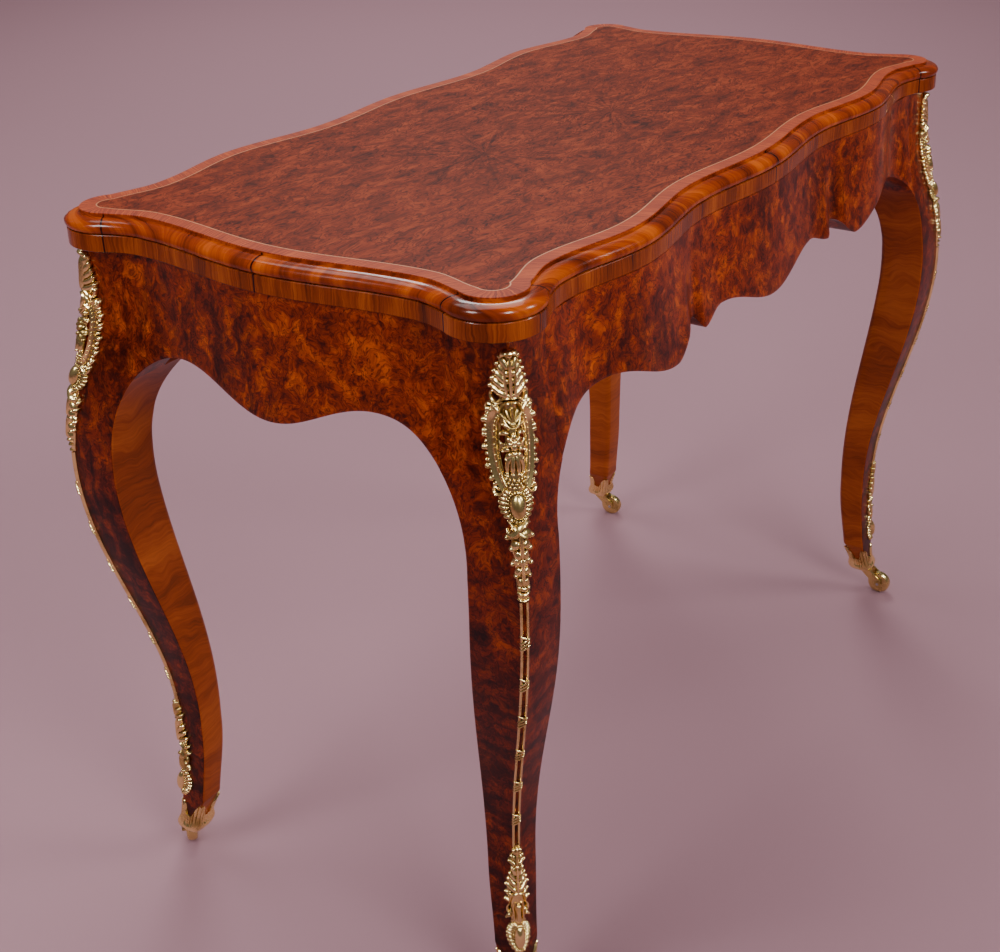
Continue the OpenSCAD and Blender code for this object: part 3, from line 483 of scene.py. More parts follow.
def plain_wood(name, stretch):
    """Unpolished wood with straight grain. The stretch is small along the grain."""
    made, tree, shader = material(name, Roughness=0.7)
    grain = noise(tree, mapped(tree, own_place(tree), Scale=stretch), 1.6, 6.0, Distortion=0.6)
    tones = [(0.3, stain(128, 92, 58)), (0.55, stain(168, 128, 86)), (0.75, stain(190, 152, 108))]
    grained(tree, shader, ramp(tree, grain, tones), grain, 0.2)
    return made


long_grain = plain_wood("plain_wood_lengthwise", (5, 70, 70))
cross_frame = plain_wood("plain_wood_across", (70, 5, 70))
frieze_burr = figured_walnut("frieze_burr", *frieze_stains, 2.0, streaks=0.8)
long_side = (joint_x, edge_line, front_side, front_arch_x, front_spring, front_arch,
             front_line, front_over, front_swell, arris_y, front_in)
short_side = (joint_y, end_edge_line, end_side, end_arch_y, end_spring, end_arch,
              end_line, end_over, end_swell, arris_x, end_in)
for apron, side, turn in (("front", long_side, 0), ("back", long_side, math.pi),
                          ("left", short_side, -math.pi / 2), ("right", short_side, math.pi / 2)):
    piece = skin("burr_apron_" + apron, apron_rows(*side, turn))
    dress(piece, frieze_burr, long_grain if side is long_side else cross_frame)
    inward = Vector((-math.sin(turn), math.cos(turn), 0))
    for face in piece.data.polygons:
        face.material_index = int(face.normal.dot(inward) > 0.7)
    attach(piece, "frame")
    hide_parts(apron + "_apron")

# Carcass: rails, well boards, cleats and glue blocks in the same plain unpolished wood, which
# shows only under the table and in the well when the top is turned.
laid_across = ("pivot_rail", "cross_rail", "well_divider")
for name in (*laid_across, "well_floor", "well_cleats", "glue_blocks"):
    dress(nodes[name], cross_frame if name in laid_across else long_grain)


# Knee mounts: brass, cast in one piece, chased and gilded. An acanthus leaf stands over a pierced
# cartouche, a polished cabochon and hanging leaves. Each is modelled flat, as the founder's
# pattern was, and then bent round the arris of its leg, where small pins hold it.
def metal(name, light, dark, rough, worn=30.0):
    """Metal whose tone and gloss vary with handling, and which is darkened in its hollows, partly as dirt and
    partly as painted shade.
    """
    made, tree, shader = material(name, Metallic=1.0)
    place = own_place(tree)
    patches = noise(tree, place, worn, 6.0, Roughness=0.65)
    # Painted shade and dirt: the colour is darkened where the surface lies in a hollow.
    hollow_dirt_and_shade = node(tree, "AmbientOcclusion", {"Distance": 0.002}, samples=6).outputs["AO"]
    tone = toned(tree, 0.7, patches, hollow_dirt_and_shade, [(0.15, (0.1, 0.1, 0.1, 1)), (0.7, unstained)])
    colour = ramp(tree, tone, [(0.1, stain(52, 34, 12)), (0.32, dark), (0.54, light)])
    gloss = ranged(tree, patches, 0.3, 0.7, rough * 0.7, rough * 1.5)
    tree.links.new(gloss, shader.inputs["Roughness"])
    grained(tree, shader, colour, noise(tree, place, 900.0, 2.0), 0.12)
    return made


gilt = metal("gilt_brass", (0.97, 0.74, 0.33, 1), (0.46, 0.32, 0.1, 1), 0.22)
mount_gap, bend_r, far_s = 0.25, 3.0, 10.0
knee_mount_low = table_h - 244
frame_beads, leaf_base = 26, 0.6
ground_t, ground_step = 1.2, 2.0


def on_arris(s, h, z):
    """Where a point of the flat pattern lies on the leg: s beside the arris, h proud of the wood.
    Close to the arris, high relief turns on a wider arc, so that it keeps its own width."""
    eighth = math.pi / 4
    start, flat = eighth * (bend_r + 0.6 * max(0, h)), eighth * bend_r
    turn = eighth * max(-1, min(1, s / start))
    past = max(0, abs(s) - start) * (far_s - flat) / (far_s - start) if abs(s) < far_s else abs(s) - flat
    past, reach, back = math.copysign(past, s), bend_r + h, mount_gap - bend_r
    return (arris_x(z) + back + reach * math.cos(eighth - turn) + min(0, past),
            arris_y(z) + back + reach * math.sin(eighth - turn) - max(0, past), z)


def flowing(points, steps=5):
    """A smooth line through the points of a drawing."""
    ends = [points[0], *points, points[-1]]
    line = []
    for around in zip(ends, ends[1:], ends[2:], ends[3:]):
        for t in [i / steps for i in range(steps)]:
            line.append(tuple(q + (r - p) * t / 2 + (p - 2.5 * q + 2 * r - v / 2) * t ** 2
                              + (1.5 * (q - r) + (v - p) / 2) * t ** 3 for p, q, r, v in zip(*around)))
    return line + [tuple(points[-1])]


def ridge(points, wide, high, base=0.0, ends=(0.35, 0.35), steps=5):
    """A round-backed rib of the pattern along a line of (aside, height) points."""
    line = flowing(points, steps)
    last = len(line) - 1
    arc = [math.radians(a) for a in range(0, 181, 30)]
    rows = []
    for i, (s, z) in enumerate(line):
        (s0, z0), (s1, z1) = line[max(i - 1, 0)], line[min(i + 1, last)]
        long = math.hypot(s1 - s0, z1 - z0)
        across, up = (z1 - z0) / long, (s0 - s1) / long
        size = mix(ends[0], 1, ease(3.5 * i / last)) * mix(ends[1], 1, ease(3.5 * (1 - i / last)))
        row = [(-1, 0.4)] + [(-math.cos(a), -size * high * math.sin(a)) for a in arc] + [(1, 0.4)]
        half = size * wide / 2
        rows.append([(s + across * q * half, h - base, z + up * q * half) for q, h in row])
    return skin("rib", rows, sharp=60)


def bead(s, z, wide, high, base=0.0, tall=None, fineness=2):
    place = (s * mm, -base * mm, z * mm)
    bpy.ops.mesh.primitive_ico_sphere_add(subdivisions=fineness, radius=mm, location=place,
                                          scale=(wide, high, tall or wide))
    bpy.ops.object.shade_smooth()
    return bpy.context.object


def leaflet(line, wide, high, base, ends, steps, tip, tip_high, tip_base=None):
    """A small leaf or a lobe of one: a rib along the line, with a rolled tip at its end."""
    return [ridge(line, wide, high, base, ends, steps),
            bead(*line[-1], tip, tip_high, base if tip_base is None else tip_base)]


def spray(root, tip, reach, pairs, wide, high):
    """An acanthus leaf on the arris: a centre rib, and pairs of round lobes with curled tips."""
    spine = [(0, root), (0, mix(root, tip, 0.5)), (0, tip)]
    parts = leaflet(spine, 0.45 * wide, high + 0.8, leaf_base + 0.8, (0.8, 0.4), 5,
                    0.4 * wide, high + 1, leaf_base)
    for share in [i / (pairs - 1) for i in range(pairs)]:
        low, spread = mix(root, tip, 0.66 * share), reach * mix(1, 0.42, share)
        end = low + (tip - root) * mix(0.2, 0.3, share)
        for side in (-1, 1):
            line = [(side, low), (side * spread * 0.55, mix(low, end, 0.35)), (side * spread, end)]
            parts += leaflet(line, wide, high, leaf_base, (0.7, 0.6), 4, 0.36 * wide, high + 1)
    return parts


def spoke(middle, a, reaches):
    """Points out from a middle on the arris, at angle a from upright, by (aside, up) reaches."""
    return [(s * math.sin(a), middle + z * math.cos(a)) for s, z in reaches]


def cabochon(middle, wide, tall, high, rays, first, last, reach):
    """A polished boss in a ring of beads, with ruffles down both sides of it."""
    parts = [bead(0, middle, wide, high, 1.0, tall, 4)]
    for a in [2 * math.pi * i / frame_beads for i in range(frame_beads)]:
        parts.append(bead(*spoke(middle, a, [(wide + 1.4, tall + 1.5)])[0], 1.0, 2.2, 1.4, fineness=1))
    for a in [math.radians(mix(first, last, i / (rays - 1))) for i in range(rays)]:
        (s0, z0), (s1, z1) = spoke(middle, a, [(wide + 2.2, tall + 2), (wide + reach, tall + 4)])
        for side in (-1, 1):
            line = [(side * s0, z0), (side * (s0 + s1) / 2, (z0 + z1) / 2), (side * s1, z1)]
            parts += leaflet(line, 4.2, 3.4, 0.3, (0.6, 0.8), 3, 1.9, 3.0)
    return parts


def coved(inner, outer, profile):
    """A band between two lines of the pattern, with a profile of (across, height) points."""
    rows = [[(mix(s0, s1, t), -h, mix(z0, z1, t)) for t, h in profile]
            for (s0, z0), (s1, z1) in zip(flowing(inner, 6), flowing(outer, 6))]
    return skin("band", rows, sharp=60)


def plate(stations):
    """Thin ground of a mount. Its edge follows the (height, half width) stations."""
    low, high = stations[0][0], stations[-1][0]
    count = round((high - low) / ground_step)
    rows = []
    for z in [mix(low, high, i / count) for i in range(count + 1)]:
        w = wave(stations, z)
        row = [(w, 0.3), (w, -0.5 * ground_t), (w - 0.7, -ground_t), (mix(w, 2.4, 0.5), -ground_t),
               (2.4, -ground_t), (1.2, -ground_t)]
        rows.append([(-s, h, z) for s, h in row] + [(0, -ground_t, z)] + [(s, h, z) for s, h in row[::-1]])
    return skin("ground", rows, sharp=50)


def cut_away(piece, cutters):
    """Takes cutters out of a piece and deletes them."""
    for cutter in cutters:
        change = piece.modifiers.new("cut", "BOOLEAN")
        change.object, change.operation, change.solver = cutter, "DIFFERENCE", "EXACT"
        bpy.context.view_layer.objects.active = piece
        bpy.ops.object.modifier_apply(modifier=change.name)
        bpy.data.objects.remove(cutter)


def slot_cutter(a, b):
    """A slot with round ends, between two (aside, height, radius) circles."""
    steep = math.degrees(math.atan2(b[1] - a[1], b[0] - a[0]))
    ring = [(a, steep + t) for t in range(90, 271, 20)] + [(b, steep + t) for t in range(-90, 91, 20)]
    slot = [(s + r * math.cos(math.radians(t)), z + r * math.sin(math.radians(t))) for (s, z, r), t in ring]
    return skin("slot", [[(s, h, z) for s, z in slot] for h in (-5, 3)])


def join(name, pieces):
    bpy.ops.object.select_all(action="DESELECT")
    for piece in pieces:
        piece.select_set(True)
    bpy.context.view_layer.objects.active = pieces[0]
    bpy.ops.object.join()
    pieces[0].name = name
    return pieces[0]


def lay_on_legs(pattern, name, replaced):
    """Bends a copy of the flat pattern round the arris of each leg."""
    for leg, (sx, sy) in SIDES.items():
        piece = bpy.data.objects.new(name + leg, pattern.data.copy())
        bpy.context.collection.objects.link(piece)
        for vertex in piece.data.vertices:
            x, y, z = on_arris(*(c / mm for c in (vertex.co.x, -vertex.co.y, vertex.co.z)))
            vertex.co = (sx * x * mm, sy * y * mm, z * mm)
        bpy.ops.object.select_all(action="DESELECT")
        bpy.context.view_layer.objects.active = piece
        bpy.ops.object.mode_set(mode="EDIT")
        bpy.ops.mesh.select_all(action="SELECT")
        bpy.ops.mesh.normals_make_consistent(inside=False)
        bpy.ops.object.mode_set(mode="OBJECT")
        dress(piece, gilt)
        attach(piece, "frame")
        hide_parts(replaced + leg)
    bpy.data.objects.remove(pattern)


def at_drop(points, side=1):
    """Points of the knee mount, drawn to the right with their height above its lower end."""
    return [(side * s, knee_mount_low + z) for s, z in points]


def bowed(half, top):
    """A line across the arris, mirrored about its top point. Its half is drawn from the outer end."""
    return at_drop([(-s, z) for s, z in half] + [(0, top)] + half[::-1])


ground = plate([(knee_mount_low + z, w) for z, w in (
    (2, 5), (16, 6), (32, 6.5), (46, 8.5), (62, 8), (76, 10), (88, 15), (98, 19), (112, 22), (128, 23),
    (142, 22), (152, 18), (158, 11), (163, 9), (168, 13), (174, 13.5), (183, 11), (192, 8), (200, 4))])
openings = [((8.4, 139, 1.8), (9.6, 129, 2.9)), ((9.8, 119, 3.0), (7.8, 104, 2.2))]
cut_away(ground, [slot_cutter(*((side * s, knee_mount_low + z, r) for s, z, r in ends))
                  for ends in openings for side in (-1, 1)])

# Standing acanthus leaf, with its tip rolled over and its lobes spread to both faces
pattern = [ground, *spray(knee_mount_low + 165, knee_mount_low + 198, 16, 5, 6.6, 4.2)]
pattern.append(ridge(bowed([(6.5, 196), (4, 199.5)], 200.5), 5.0, 5.6, 1.4, (0.6, 0.6)))
crown_scroll = [(6, 160), (11, 158), (15.5, 161), (16, 166), (12.5, 168), (10.5, 165.5)]
for side in (-1, 1):
    pattern += [ridge(at_drop([(2.6, 163), (3.4, 178), (4.6, 195)], side), 2.4, 2.4, 3.0),
                ridge(at_drop(crown_scroll, side), 3.2, 4.2, 0.6, (0.7, 0.5))]

# Arched hood with a bud in its niche
for reach in (0, 3.2):
    hood = [(10 + reach, 145 + reach), (8.6 + reach, 153 + reach), (4.8 + reach / 2, 159 + reach)]
    pattern.append(ridge(bowed(hood, 161 + reach), 2.4, 4.4 - reach / 3, 1.0))
bud_z = 143.5
for turn in (-60, -30, 0, 30, 60):
    fan = spoke(bud_z, math.radians(turn), [(0, 0), (4, 6), (8.4, 12.5)])
    pattern.append(ridge(at_drop(fan), 2.6, 3.4, 1.0, (0.5, 0.9)))
pattern += [bead(0, knee_mount_low + 144, 2.4, 4.6, 1.4, fineness=3),
            ridge(bowed([(5.6, 155), (6.2, 148), (3.4, 142.5)], 141), 2.4, 4.0, 0.8)]

# Cartouche: on each face a broad coved band with an inner row of beads and a ruffled outer edge
inner = [(5, 150), (9.5, 146), (12.4, 138), (13.4, 127), (12.8, 115), (10.6, 104), (7, 95)]
outer = [(10, 153), (16.5, 150.5), (21, 143), (22.4, 129), (21.8, 113), (18.5, 99), (11, 88)]
cove = [(0, 0), (0, 3.0), (0.08, 3.8), (0.2, 3.0), (0.35, 2.0), (0.55, 1.5), (0.75, 2.0), (0.9, 3.4),
        (0.97, 3.6), (1, 2.6), (1, 0)]
upper_scroll = [(10, 152), (14, 155.5), (18.5, 157), (21.5, 154.5), (20.5, 151.5), (18, 152.5)]
lower_scroll = [(9, 91), (13, 87), (17.5, 86), (20, 88.5), (18.5, 91.5), (16.4, 90)]
ruffle_count, bead_count = 19, 15
for side in (-1, 1):
    inside, outside = at_drop(inner, side), at_drop(outer, side)
    pattern.append(coved(inside, outside, cove))
    edge = flowing(outside, 10)
    for i in range(ruffle_count):
        k = 3 + round(i * (len(edge) - 8) / (ruffle_count - 1))
        (s, z), (ahead_s, ahead_z) = edge[k], edge[k + 2]
        long = side * math.hypot(ahead_s - s, ahead_z - z)
        out_s, out_z = (z - ahead_z) / long, (ahead_s - s) / long
        size = 1 + 0.3 * math.sin(2.4 * i)
        ruffle = [(s + out_s * r, z + out_z * r) for r in (-1.0, 1.0, 2.8 * size, 2.9 * size)]
        pattern += [ridge(ruffle[:3], 4.4 * size, 3.4, 0.4, (0.6, 0.9), 3),
                    bead(*ruffle[3], 2.2 * size, 3.8 * size, 0.4)]
    row = flowing([(mix(a, b, 0.3), mix(c, d, 0.3)) for (a, c), (b, d) in zip(inside, outside)])
    pattern += [bead(*row[2 + 2 * i - i // 8], 0.9, 1.5, 2.6, fineness=1) for i in range(bead_count)]
    for scroll in (upper_scroll, lower_scroll):
        pattern.append(ridge(at_drop(scroll, side), 3.2, 4.4, 0.4, (0.8, 0.6)))

# Garland down the arris inside the cartouche: a rose, leaves and a hanging palmette
rose_z, petals = 130, 6
garland_leaves = (((2, 140), (7.5, 142.5)), ((3, 136), (9.5, 134.5)), ((3, 124), (8.5, 121.5)),
                  ((2, 121), (6.5, 115.5)))
for a in [2 * math.pi * i / petals for i in range(petals)]:
    petal = spoke(rose_z, a, [(1.2, 1.2), (3.4, 3.6), (5.6, 6)])
    pattern.append(ridge(at_drop(petal), 4.4, 3.6, 2.0, (0.5, 0.8), 3))
pattern.append(bead(0, knee_mount_low + rose_z, 2.2, 2.6, 4.0))
for side in (-1, 1):
    for (s0, z0), (s1, z1) in [at_drop(leaf, side) for leaf in garland_leaves]:
        line = [(s0, z0), ((s0 + s1) / 2, (z0 + z1) / 2 + 0.6), (s1, z1)]
        pattern += leaflet(line, 4.4, 3.8, 0.8, (0.6, 0.6), 4, 1.6, 4.2, 0.6)
for aside in (-5.4, -1.9, 1.9, 5.4):
    frond = at_drop([(aside * 0.3, 121), (aside, 113), (aside * 1.15, 105)])
    pattern += leaflet(frond, 4.0, 3.6, 1.4, (0.5, 0.6), 4, 1.6, 4.2, 1.0)
pattern.append(bead(0, knee_mount_low + 121, 2.2, 3.2, 2.8))

# Trellis between the cartouche and the cabochon, and the cabochon in its beaded frame
trellis_z, first_row, stud_apart, row_apart = 99.5, 6, 3.2, 2.8
for row in range(3):
    studs = first_row - row
    for i in range(studs):
        aside, z = (i - (studs - 1) / 2) * stud_apart, knee_mount_low + trellis_z - row_apart * row
        pattern.append(bead(aside, z, 1.3, 2.2, 1.2, fineness=1))
pattern += cabochon(knee_mount_low + 79, 6.6, 10.0, 6.0, 8, 38, 150, 9.5)

# Hanging leaves below it, gathered in a collar above the strip
collar = [(-9.5, 64), (-5.5, 66.5), (0, 64), (4, 58.5), (8, 57), (11, 60.5)]
pattern += [ridge(at_drop(collar), 5.0, 5.4, 1.4),
            ridge(at_drop([(9.5, 67), (5, 64), (1, 59), (-4, 55.5), (-9, 56)]), 3.6, 4.4, 1.2),
            *spray(knee_mount_low + 58, knee_mount_low + 36, 10.5, 3, 7.4, 4.0),
            *spray(knee_mount_low + 38, knee_mount_low + 13, 7.6, 3, 6.4, 3.8)]
pattern += [ridge(bowed([(5.2, 8.6)], 8), 3.0, 3.6, 0.2, (0.7, 0.7)),
            ridge(bowed([(5, 2.5)], 2), 2.6, 3.0, 0.2, (0.7, 0.7))]
lay_on_legs(join("knee_pattern", pattern), "knee_mount_cast_", "knee_mount_")

# Reeded strips: two thin brass reeds from the knee mount to the foot mount, bound at six places
# by crossed ribbon. They are pinned along the arris.
strip_low, strip_high, binding_count = 205, knee_mount_low, 6
reed_at, reed_w, binding = 2.6, 2.9, 4.2
climb = [mix(strip_low, strip_high, i / 40) for i in range(41)]
pattern = [ridge([(side * reed_at, z) for z in climb], reed_w, 2.3, 0, (1, 1), 1) for side in (-1, 1)]
pitch = (strip_high - strip_low) / (binding_count + 0.6)
for z in [strip_low + pitch * (i + 0.75) for i in range(binding_count)]:
    for rise in (-5, -1.6, 1.8, 5):
        slant = 2.4 if rise < 5 else -2
        turns = ((-binding, 1), (-reed_at, 0.8), (0, 0), (reed_at, -0.8), (binding, -1))
        ribbon = [(s, z + rise + slant * share) for s, share in turns]
        pattern.append(ridge(ribbon, 2.0, 1.6, 1.7, (0.5, 0.5)))
lay_on_legs(join("strip_pattern", pattern), "reed_strip_cast_", "reed_strip_")

# Foot mounts: cast and gilded like the knee mounts, a bud and a leaf over a small cartouche and
# a ruffled frame that holds a tall polished cabochon just above the toe.
foot_low = 80
pattern = [plate([(foot_low + z, w) for z, w in (
    (0, 6), (7, 10.5), (18, 11.5), (31, 8), (44, 8.5), (58, 8), (68, 5.5), (82, 6.5), (96, 5),
    (110, 4.5), (125, 4))])]
pattern += cabochon(97, 4.7, 12.0, 6.4, 10, 22, 160, 8.0)
foot_scrolls = (([(0, 149), (4.5, 146), (7.5, 140), (8.6, 133)], 2.4, 3.6),
                ([(2.6, 137), (5, 131), (4.2, 124), (4.6, 117), (8, 113.5)], 2.4, 3.4),
                ([(8.6, 133), (10.6, 128.5), (9.4, 124), (6.8, 125.5), (7.8, 128.5)], 2.6, 3.6),
                ([(3, 149.5), (6.4, 152.5), (8.8, 151), (7.8, 148.4), (6, 149.6)], 2.4, 3.4))
foot_leaves = (((6, 143), (12, 147)), ((7.5, 137), (13, 138)), ((8, 121), (12, 117)))
for side in (-1, 1):
    for line, wide, high in foot_scrolls:
        pattern.append(ridge([(side * s, z) for s, z in line], wide, high, 0.6, (0.6, 0.5)))
    for (s0, z0), (s1, z1) in foot_leaves:
        line = [(side * s0, z0), (side * (s0 + s1) / 2, (z0 + z1) / 2), (side * s1, z1)]
        pattern += leaflet(line, 4.2, 3.2, 0.4, (0.6, 0.6), 4, 1.6, 3.6)
pattern += [bead(0, 133.5, 2.4, 3.6, 2.0), ridge([(0, 131), (0, 123), (0, 112)], 3.8, 3.6, 1.0, (0.7, 0.3)),
            *spray(151, 180, 10.5, 4, 5.6, 3.6), *spray(182, 201, 7, 3, 5.0, 3.4)]
lay_on_legs(join("foot_pattern", pattern), "foot_mount_cast_", "foot_mount_")

# Shoes: brass cups cast as leaves over the toes, held by the rivets of the castors. The rim is
# low on the faces and climbs in a leaf tip at each corner, and fine veins run up to it.
rim_low, tip_h, cup_t, floor_t, stem_hole = 54, 74, 2.0, 8, 4.3
petal_count, vein_count, vein_deep, ring_count = 12, 24, 1.5, 144
cup_levels = [0, 0.03, 0.08, 0.16, 0.26, 0.36, 0.46, 0.56, 0.66, 0.76, 0.86, 0.94, 1]
cup_floor = shoe_h + floor_t


def cup_point(a, z, out):
    """Round about the foot at angle a: a square section with well rounded corners."""
    half = face_w(z) / 2 + out
    r = half / (abs(math.cos(a)) ** 6 + abs(math.sin(a)) ** 6) ** (1 / 6)
    return arris_x(z) - half + out + r * math.cos(a), arris_y(z) - half + out + r * math.sin(a), z


def rim(a):
    scallop = abs(math.cos(petal_count / 2 * a)) ** 0.7
    return mix(rim_low, tip_h, abs(math.sin(2 * a)) ** 2.2) - 3.5 * (1 - scallop)


def cup_wall(a, t):
    """Outside of the cup at a share t of its height: a belly low down, and veins that run up it."""
    belly = 2.4 * math.sin(math.pi * min(1, t / 0.45)) + 1.2 * max(0, t - 0.7)
    vein = vein_deep * ease(t / 0.4) * (1 - abs(math.cos(vein_count / 2 * a)) ** 0.8)
    return cup_point(a, mix(shoe_h, rim(a), t), cup_t - 0.8 * (t == 0) + belly - vein)


angles = [2 * math.pi * i / ring_count for i in range(ring_count)]
rows = [[cup_wall(a, t) for a in angles] for t in cup_levels]
for t in (1, 0.5, 0):
    rows.append([cup_point(a, mix(cup_floor, rim(a), t), mount_gap) for a in angles])
for leg, (sx, sy) in SIDES.items():
    mirrored = [[(sx * x, sy * y, z) for x, y, z in row] for row in rows]
    piece = skin("leaf_cast_shoe_" + leg, mirrored, sharp=50)
    stem_place = (sx * leg_x * mm, sy * leg_y * mm, (shoe_h + floor_t / 2) * mm)
    bpy.ops.mesh.primitive_cylinder_add(vertices=32, radius=stem_hole * mm, depth=0.06, location=stem_place)
    cut_away(piece, [bpy.context.object])
    dress(piece, gilt)
    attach(piece, "frame")
    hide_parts("shoe_" + leg)

# Castors: brass horn forks riveted into the shoes, each with a turned barrel wheel on an iron axle.
# The swivel and the fold take the same metals: brass for the bush and the hinge plates, and iron
# for the spindle, its washer and nut, the stop peg and the hinge pins.
castor_brass = metal("castor_brass", (0.76, 0.58, 0.23, 1), (0.36, 0.26, 0.08, 1), 0.24, 60.0)
iron = metal("bright_iron", (0.55, 0.55, 0.56, 1), (0.32, 0.31, 0.30, 1), 0.35)
of_brass = ("castor_fork_", "castor_wheel_", "pivot_bush", "lower_hinge_plates", "upper_hinge_plates")
of_iron = ("castor_axle_", "pivot_spindle", "pivot_washer", "pivot_nut", "stop_peg", "hinge_pins")
for name, part in nodes.items():
    if name.startswith(of_brass):
        dress(part, castor_brass)
    elif name.startswith(of_iron):
        dress(part, iron)


# Lower leaf: a board edged with cross-grained walnut, which turns on the spindle. A border
# frames the sunk field for the cloth, and the board is notched for the hinges of the fold.
def cross_grain(name, dark, middle, light, fine=330.0, rough=0.22, arched=0.0, bands=0.55, coat=0.25):
    """Short grain laid square to the edge: fine lines across the strip, in bands that differ from
    length to length, with arched figure in places. It follows the strip by its own UV map."""
    made, tree, shader = material(name, Roughness=rough, Specular_IOR_Level=0.12, Coat_Weight=coat,
                                  Coat_Roughness=0.05)
    place = node(tree, "UVMap").outputs["UV"]
    parts = node(tree, "SeparateXYZ", {"Vector": place}).outputs
    arch = ranged(tree, noise(tree, place, 7.0, 1.0), 0.5, 0.6, arched)
    squared = worked(tree, "POWER", worked(tree, "SUBTRACT", parts["Y"], 0.022), 2.0)
    along = worked(tree, "ADD", parts["X"], worked(tree, "MULTIPLY", squared, arch))
    laid = node(tree, "CombineXYZ", {"X": along, "Y": parts["Y"]}).outputs["Vector"]
    bent = blended(tree, "LINEAR_LIGHT", 0.003, laid, noise(tree, place, 60.0, 2.0, "Color"))
    lines = noise(tree, mapped(tree, bent, Scale=(fine, 10, 1)), 1.0, 5.0, Roughness=0.7)
    patches = noise(tree, mapped(tree, bent, Scale=(34, 5, 1)), 1.0, 3.0)
    figure = blended(tree, "MIX", bands, lines, patches)
    colour = ramp(tree, figure, [(0.36, dark), (0.5, middle), (0.62, light)])
    mitre = node(tree, "Attribute", attribute_name="mitre").outputs["Fac"]
    colour = toned(tree, 1.0, colour, mitre, [(0.8, unstained), (0.93, stain(70, 40, 30))])
    grained(tree, shader, colour, lines)
    return made


edge_walnut = cross_grain("cross_grained_edge", stain(46, 12, 1), stain(110, 40, 2), stain(148, 68, 8),
                          420.0, 0.25)
border_w, fold_border_w, cloth_recess = 48, 14, 1.5
half_way = 2 * (end_steps + lobe_steps + front_steps)
mitres = {k for j in (0, end_steps, end_steps + lobe_steps, half_way // 2)
          for k in (j, half_way - j, half_way + j, 2 * half_way - j)}
lower_out, eased = 13, 0.7
lower_top, upper_low = parting_h - leaf_gap, parting_h + leaf_gap
hinge_x, hinge_len, hinge_plate_h, knuckle_r, hinge_gap = 265, 60, 12, 3.2, 0.3
notch_from, notch_deep = fold_y - knuckle_r - hinge_gap, 5.8


def field(inset):
    """Outline of the sunk field: parallel to the edge, and square where it comes to the fold."""
    out, limit = -border_w - inset, lobe_y + front_dip - fold_border_w - inset
    front = quarter(out, border_w + leaf_gap)
    turn = front[end_steps][1]
    corner = [mix(turn, limit, i / lobe_steps) for i in range(lobe_steps + 1)]
    side = front[:end_steps] + [(wave(end_line, y) + out, y) for y in corner]
    last = side[-1][0]
    return all_round(side + [(last * (1 - i / front_steps), limit) for i in range(1, front_steps + 1)], front)


def hinge_notches():
    """Cutters for the room that the knuckles and plates of the two hinges take."""
    cutters = []
    for side in (-1, 1):
        middle = (side * hinge_x * mm, (notch_from + notch_deep / 2) * mm, parting_h * mm)
        room = ((hinge_len + 2 * hinge_gap) * mm, notch_deep * mm, 2 * (hinge_plate_h + hinge_gap) * mm)
        bpy.ops.mesh.primitive_cube_add(size=1, location=middle, scale=room)
        cutters.append(bpy.context.object)
    return cutters


edge_profile = [(lower_out - eased, underside_h), (lower_out, underside_h + eased),
                (lower_out, lower_top - eased), (lower_out - eased, lower_top)]
piece = skin("lower_leaf_board", [at_height(leaf_outline(out), z) for out, z in edge_profile]
             + [at_height(field(0), z) for z in (lower_top, lower_top - cloth_recess)], mitres=mitres)
cut_away(piece, hinge_notches())
dress(piece, edge_walnut)
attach(piece, "lower_leaf")
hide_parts("lower_leaf")

# Playing cloth: green wool with a short nap, a little uneven in tone. One sheet is laid in the
# sunk field of each leaf and held there by paste.
baize, tree, shader = material("green_playing_cloth", Roughness=0.95, Sheen_Weight=0.12, Sheen_Roughness=0.5,
                               Specular_IOR_Level=0.1)
place = own_place(tree)
nap = noise(tree, place, 1400.0, 4.0, Roughness=0.7)
tone = blended(tree, "MIX", 0.4, nap, noise(tree, place, 9.0, 3.0))
grained(tree, shader, ramp(tree, tone, [(0.3, stain(10, 44, 24)), (0.7, stain(28, 78, 46))]), nap, 0.5)
cloth_gap = 0.2
cut = field(cloth_gap)
for leaf, low, high in (("lower", lower_top - cloth_recess, lower_top - cloth_gap),
                        ("upper", upper_low + cloth_gap, upper_low + cloth_recess)):
    piece = skin(leaf + "_playing_cloth", [at_height(cut, low), at_height(cut, high)])
    dress(piece, baize)
    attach(piece, leaf + "_leaf")
    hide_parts(leaf + "_cloth")

# Upper leaf: a core board with the second field on its underside, and the thumb moulding,
# worked from short cross-grained lengths and glued round it.
thumb_in, thumb_out, thumb_step, thumb_under, quirk, veneer_t = 8, 14.5, 1.2, 4.5, 3, 1
thumb_top, core_top = table_h - quirk, table_h - veneer_t
thumb_wide = mix(upper_low, thumb_top, 0.42)
piece = skin("upper_leaf_board", [
    at_height(field(0), upper_low + cloth_recess), at_height(field(0), upper_low),
    at_height(leaf_outline(-thumb_in), upper_low), at_height(leaf_outline(-thumb_in), core_top)])
dress(piece, edge_walnut)
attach(piece, "upper_leaf")
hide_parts("upper_leaf")

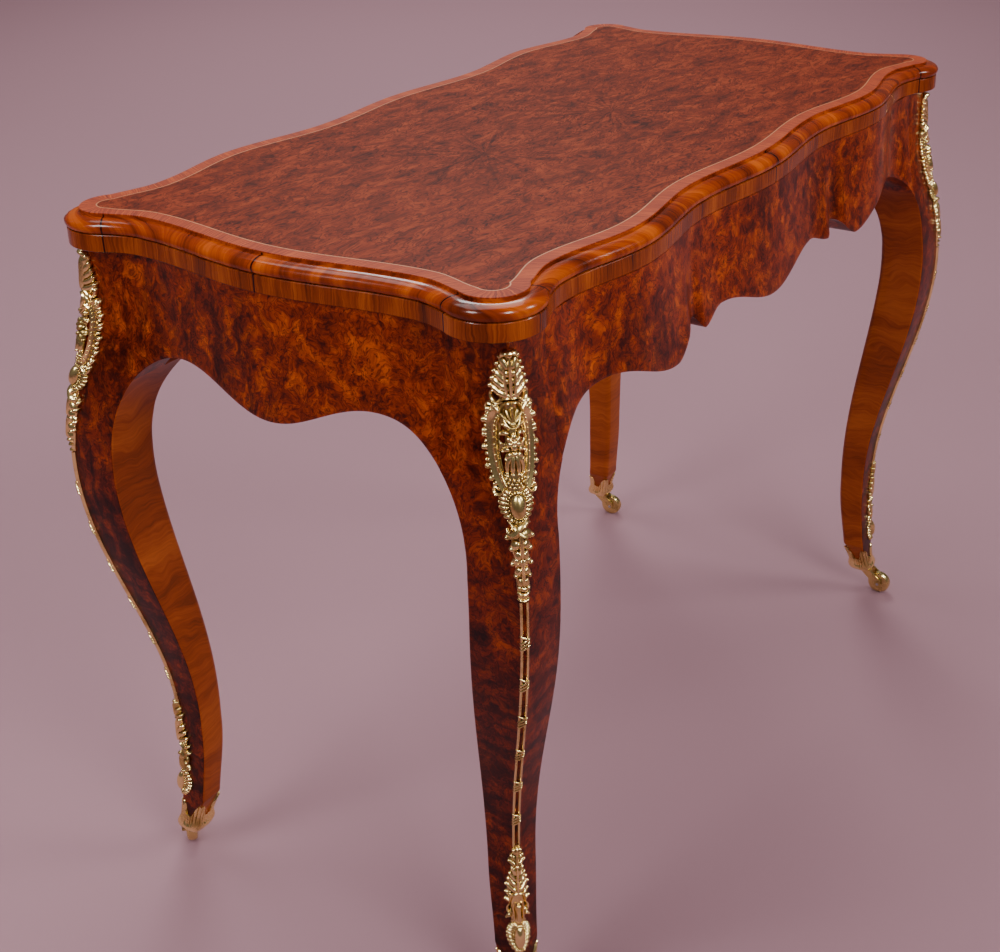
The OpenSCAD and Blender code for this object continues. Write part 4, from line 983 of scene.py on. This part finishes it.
profile = [(upper_low, -thumb_in)]
for a in [math.radians(a) for a in range(90, 0, -15)]:
    profile.append((mix(thumb_wide, upper_low, math.sin(a)), thumb_out - thumb_under * (1 - math.cos(a))))
for a in [math.radians(a) for a in range(90, -1, -6)]:
    profile.append((mix(thumb_wide, thumb_top, math.cos(a)), mix(thumb_step, thumb_out, math.sin(a))))
profile += [(thumb_top, 0), (core_top, 0), (core_top, -thumb_in), (upper_low, -thumb_in)]
moulding_stains = stain(60, 13, 1), stain(124, 41, 2), stain(166, 74, 8)
moulding_walnut = cross_grain("cross_grained_moulding", *moulding_stains, 300.0, 0.22, 60.0, 0.72)
moulding_rows = [at_height(leaf_outline(out), z) for z, out in profile]
piece = skin("cross_grained_thumb_moulding", moulding_rows, mitres=mitres)
cut_away(piece, hinge_notches())
dress(piece, moulding_walnut)
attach(piece, "upper_leaf")
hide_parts("thumb_moulding")

# Veneers of the top: a panel of burr walnut with round ears, a pale line and a crossbanding, all
# glued to the core board and levelled with one another.
band_w, ear_r, string_w = 15, 13, 1.2
panel_edge, line_edge = outline(-band_w, ear_r), outline(string_w - band_w, ear_r + string_w)


def laid_between(name, inner, outer):
    """A strip of veneer between two outlines, from the core board up to the top."""
    ring = ((inner, table_h), (outer, table_h), (outer, core_top), (inner, core_top), (inner, table_h))
    return skin(name, [at_height(edge, z) for edge, z in ring])


crossband = cross_grain("kingwood_crossband", stain(74, 15, 4), stain(132, 45, 14), stain(180, 84, 32),
                        640.0, 0.5, bands=0.2, coat=0.03)
piece = laid_between("crossband_ring", line_edge, leaf_outline(0))
dress(piece, crossband)
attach(piece, "upper_leaf")
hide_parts("top_crossband")

line_wood, tree, shader = material("pale_line_wood", Roughness=0.35, Coat_Weight=0.5, Coat_Roughness=0.1)
grain = noise(tree, own_place(tree), 220.0, 4.0)
grained(tree, shader, ramp(tree, grain, [(0.3, stain(150, 88, 48)), (0.7, stain(182, 118, 70))]), grain)
piece = laid_between("stringing_line", panel_edge, line_edge)
dress(piece, line_wood)
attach(piece, "upper_leaf")
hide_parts("top_stringing")

panel_turn = math.radians(56.7)
top_burr = figured_walnut("top_burr", stain(76, 24, 9), stain(111, 39, 15), stain(134, 55, 25), 1.7,
                          (0.5, 1.2, 1), panel_turn, fans=((-144, 4, 0.5), (63, -20, 0.2)),
                          finish={"Roughness": 0.45, "Specular_IOR_Level": 0.05})
piece = skin("burr_panel", [at_height(panel_edge, core_top), at_height(panel_edge, table_h)])
dress(piece, top_burr)
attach(piece, "upper_leaf")
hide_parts("top_burr_panel")
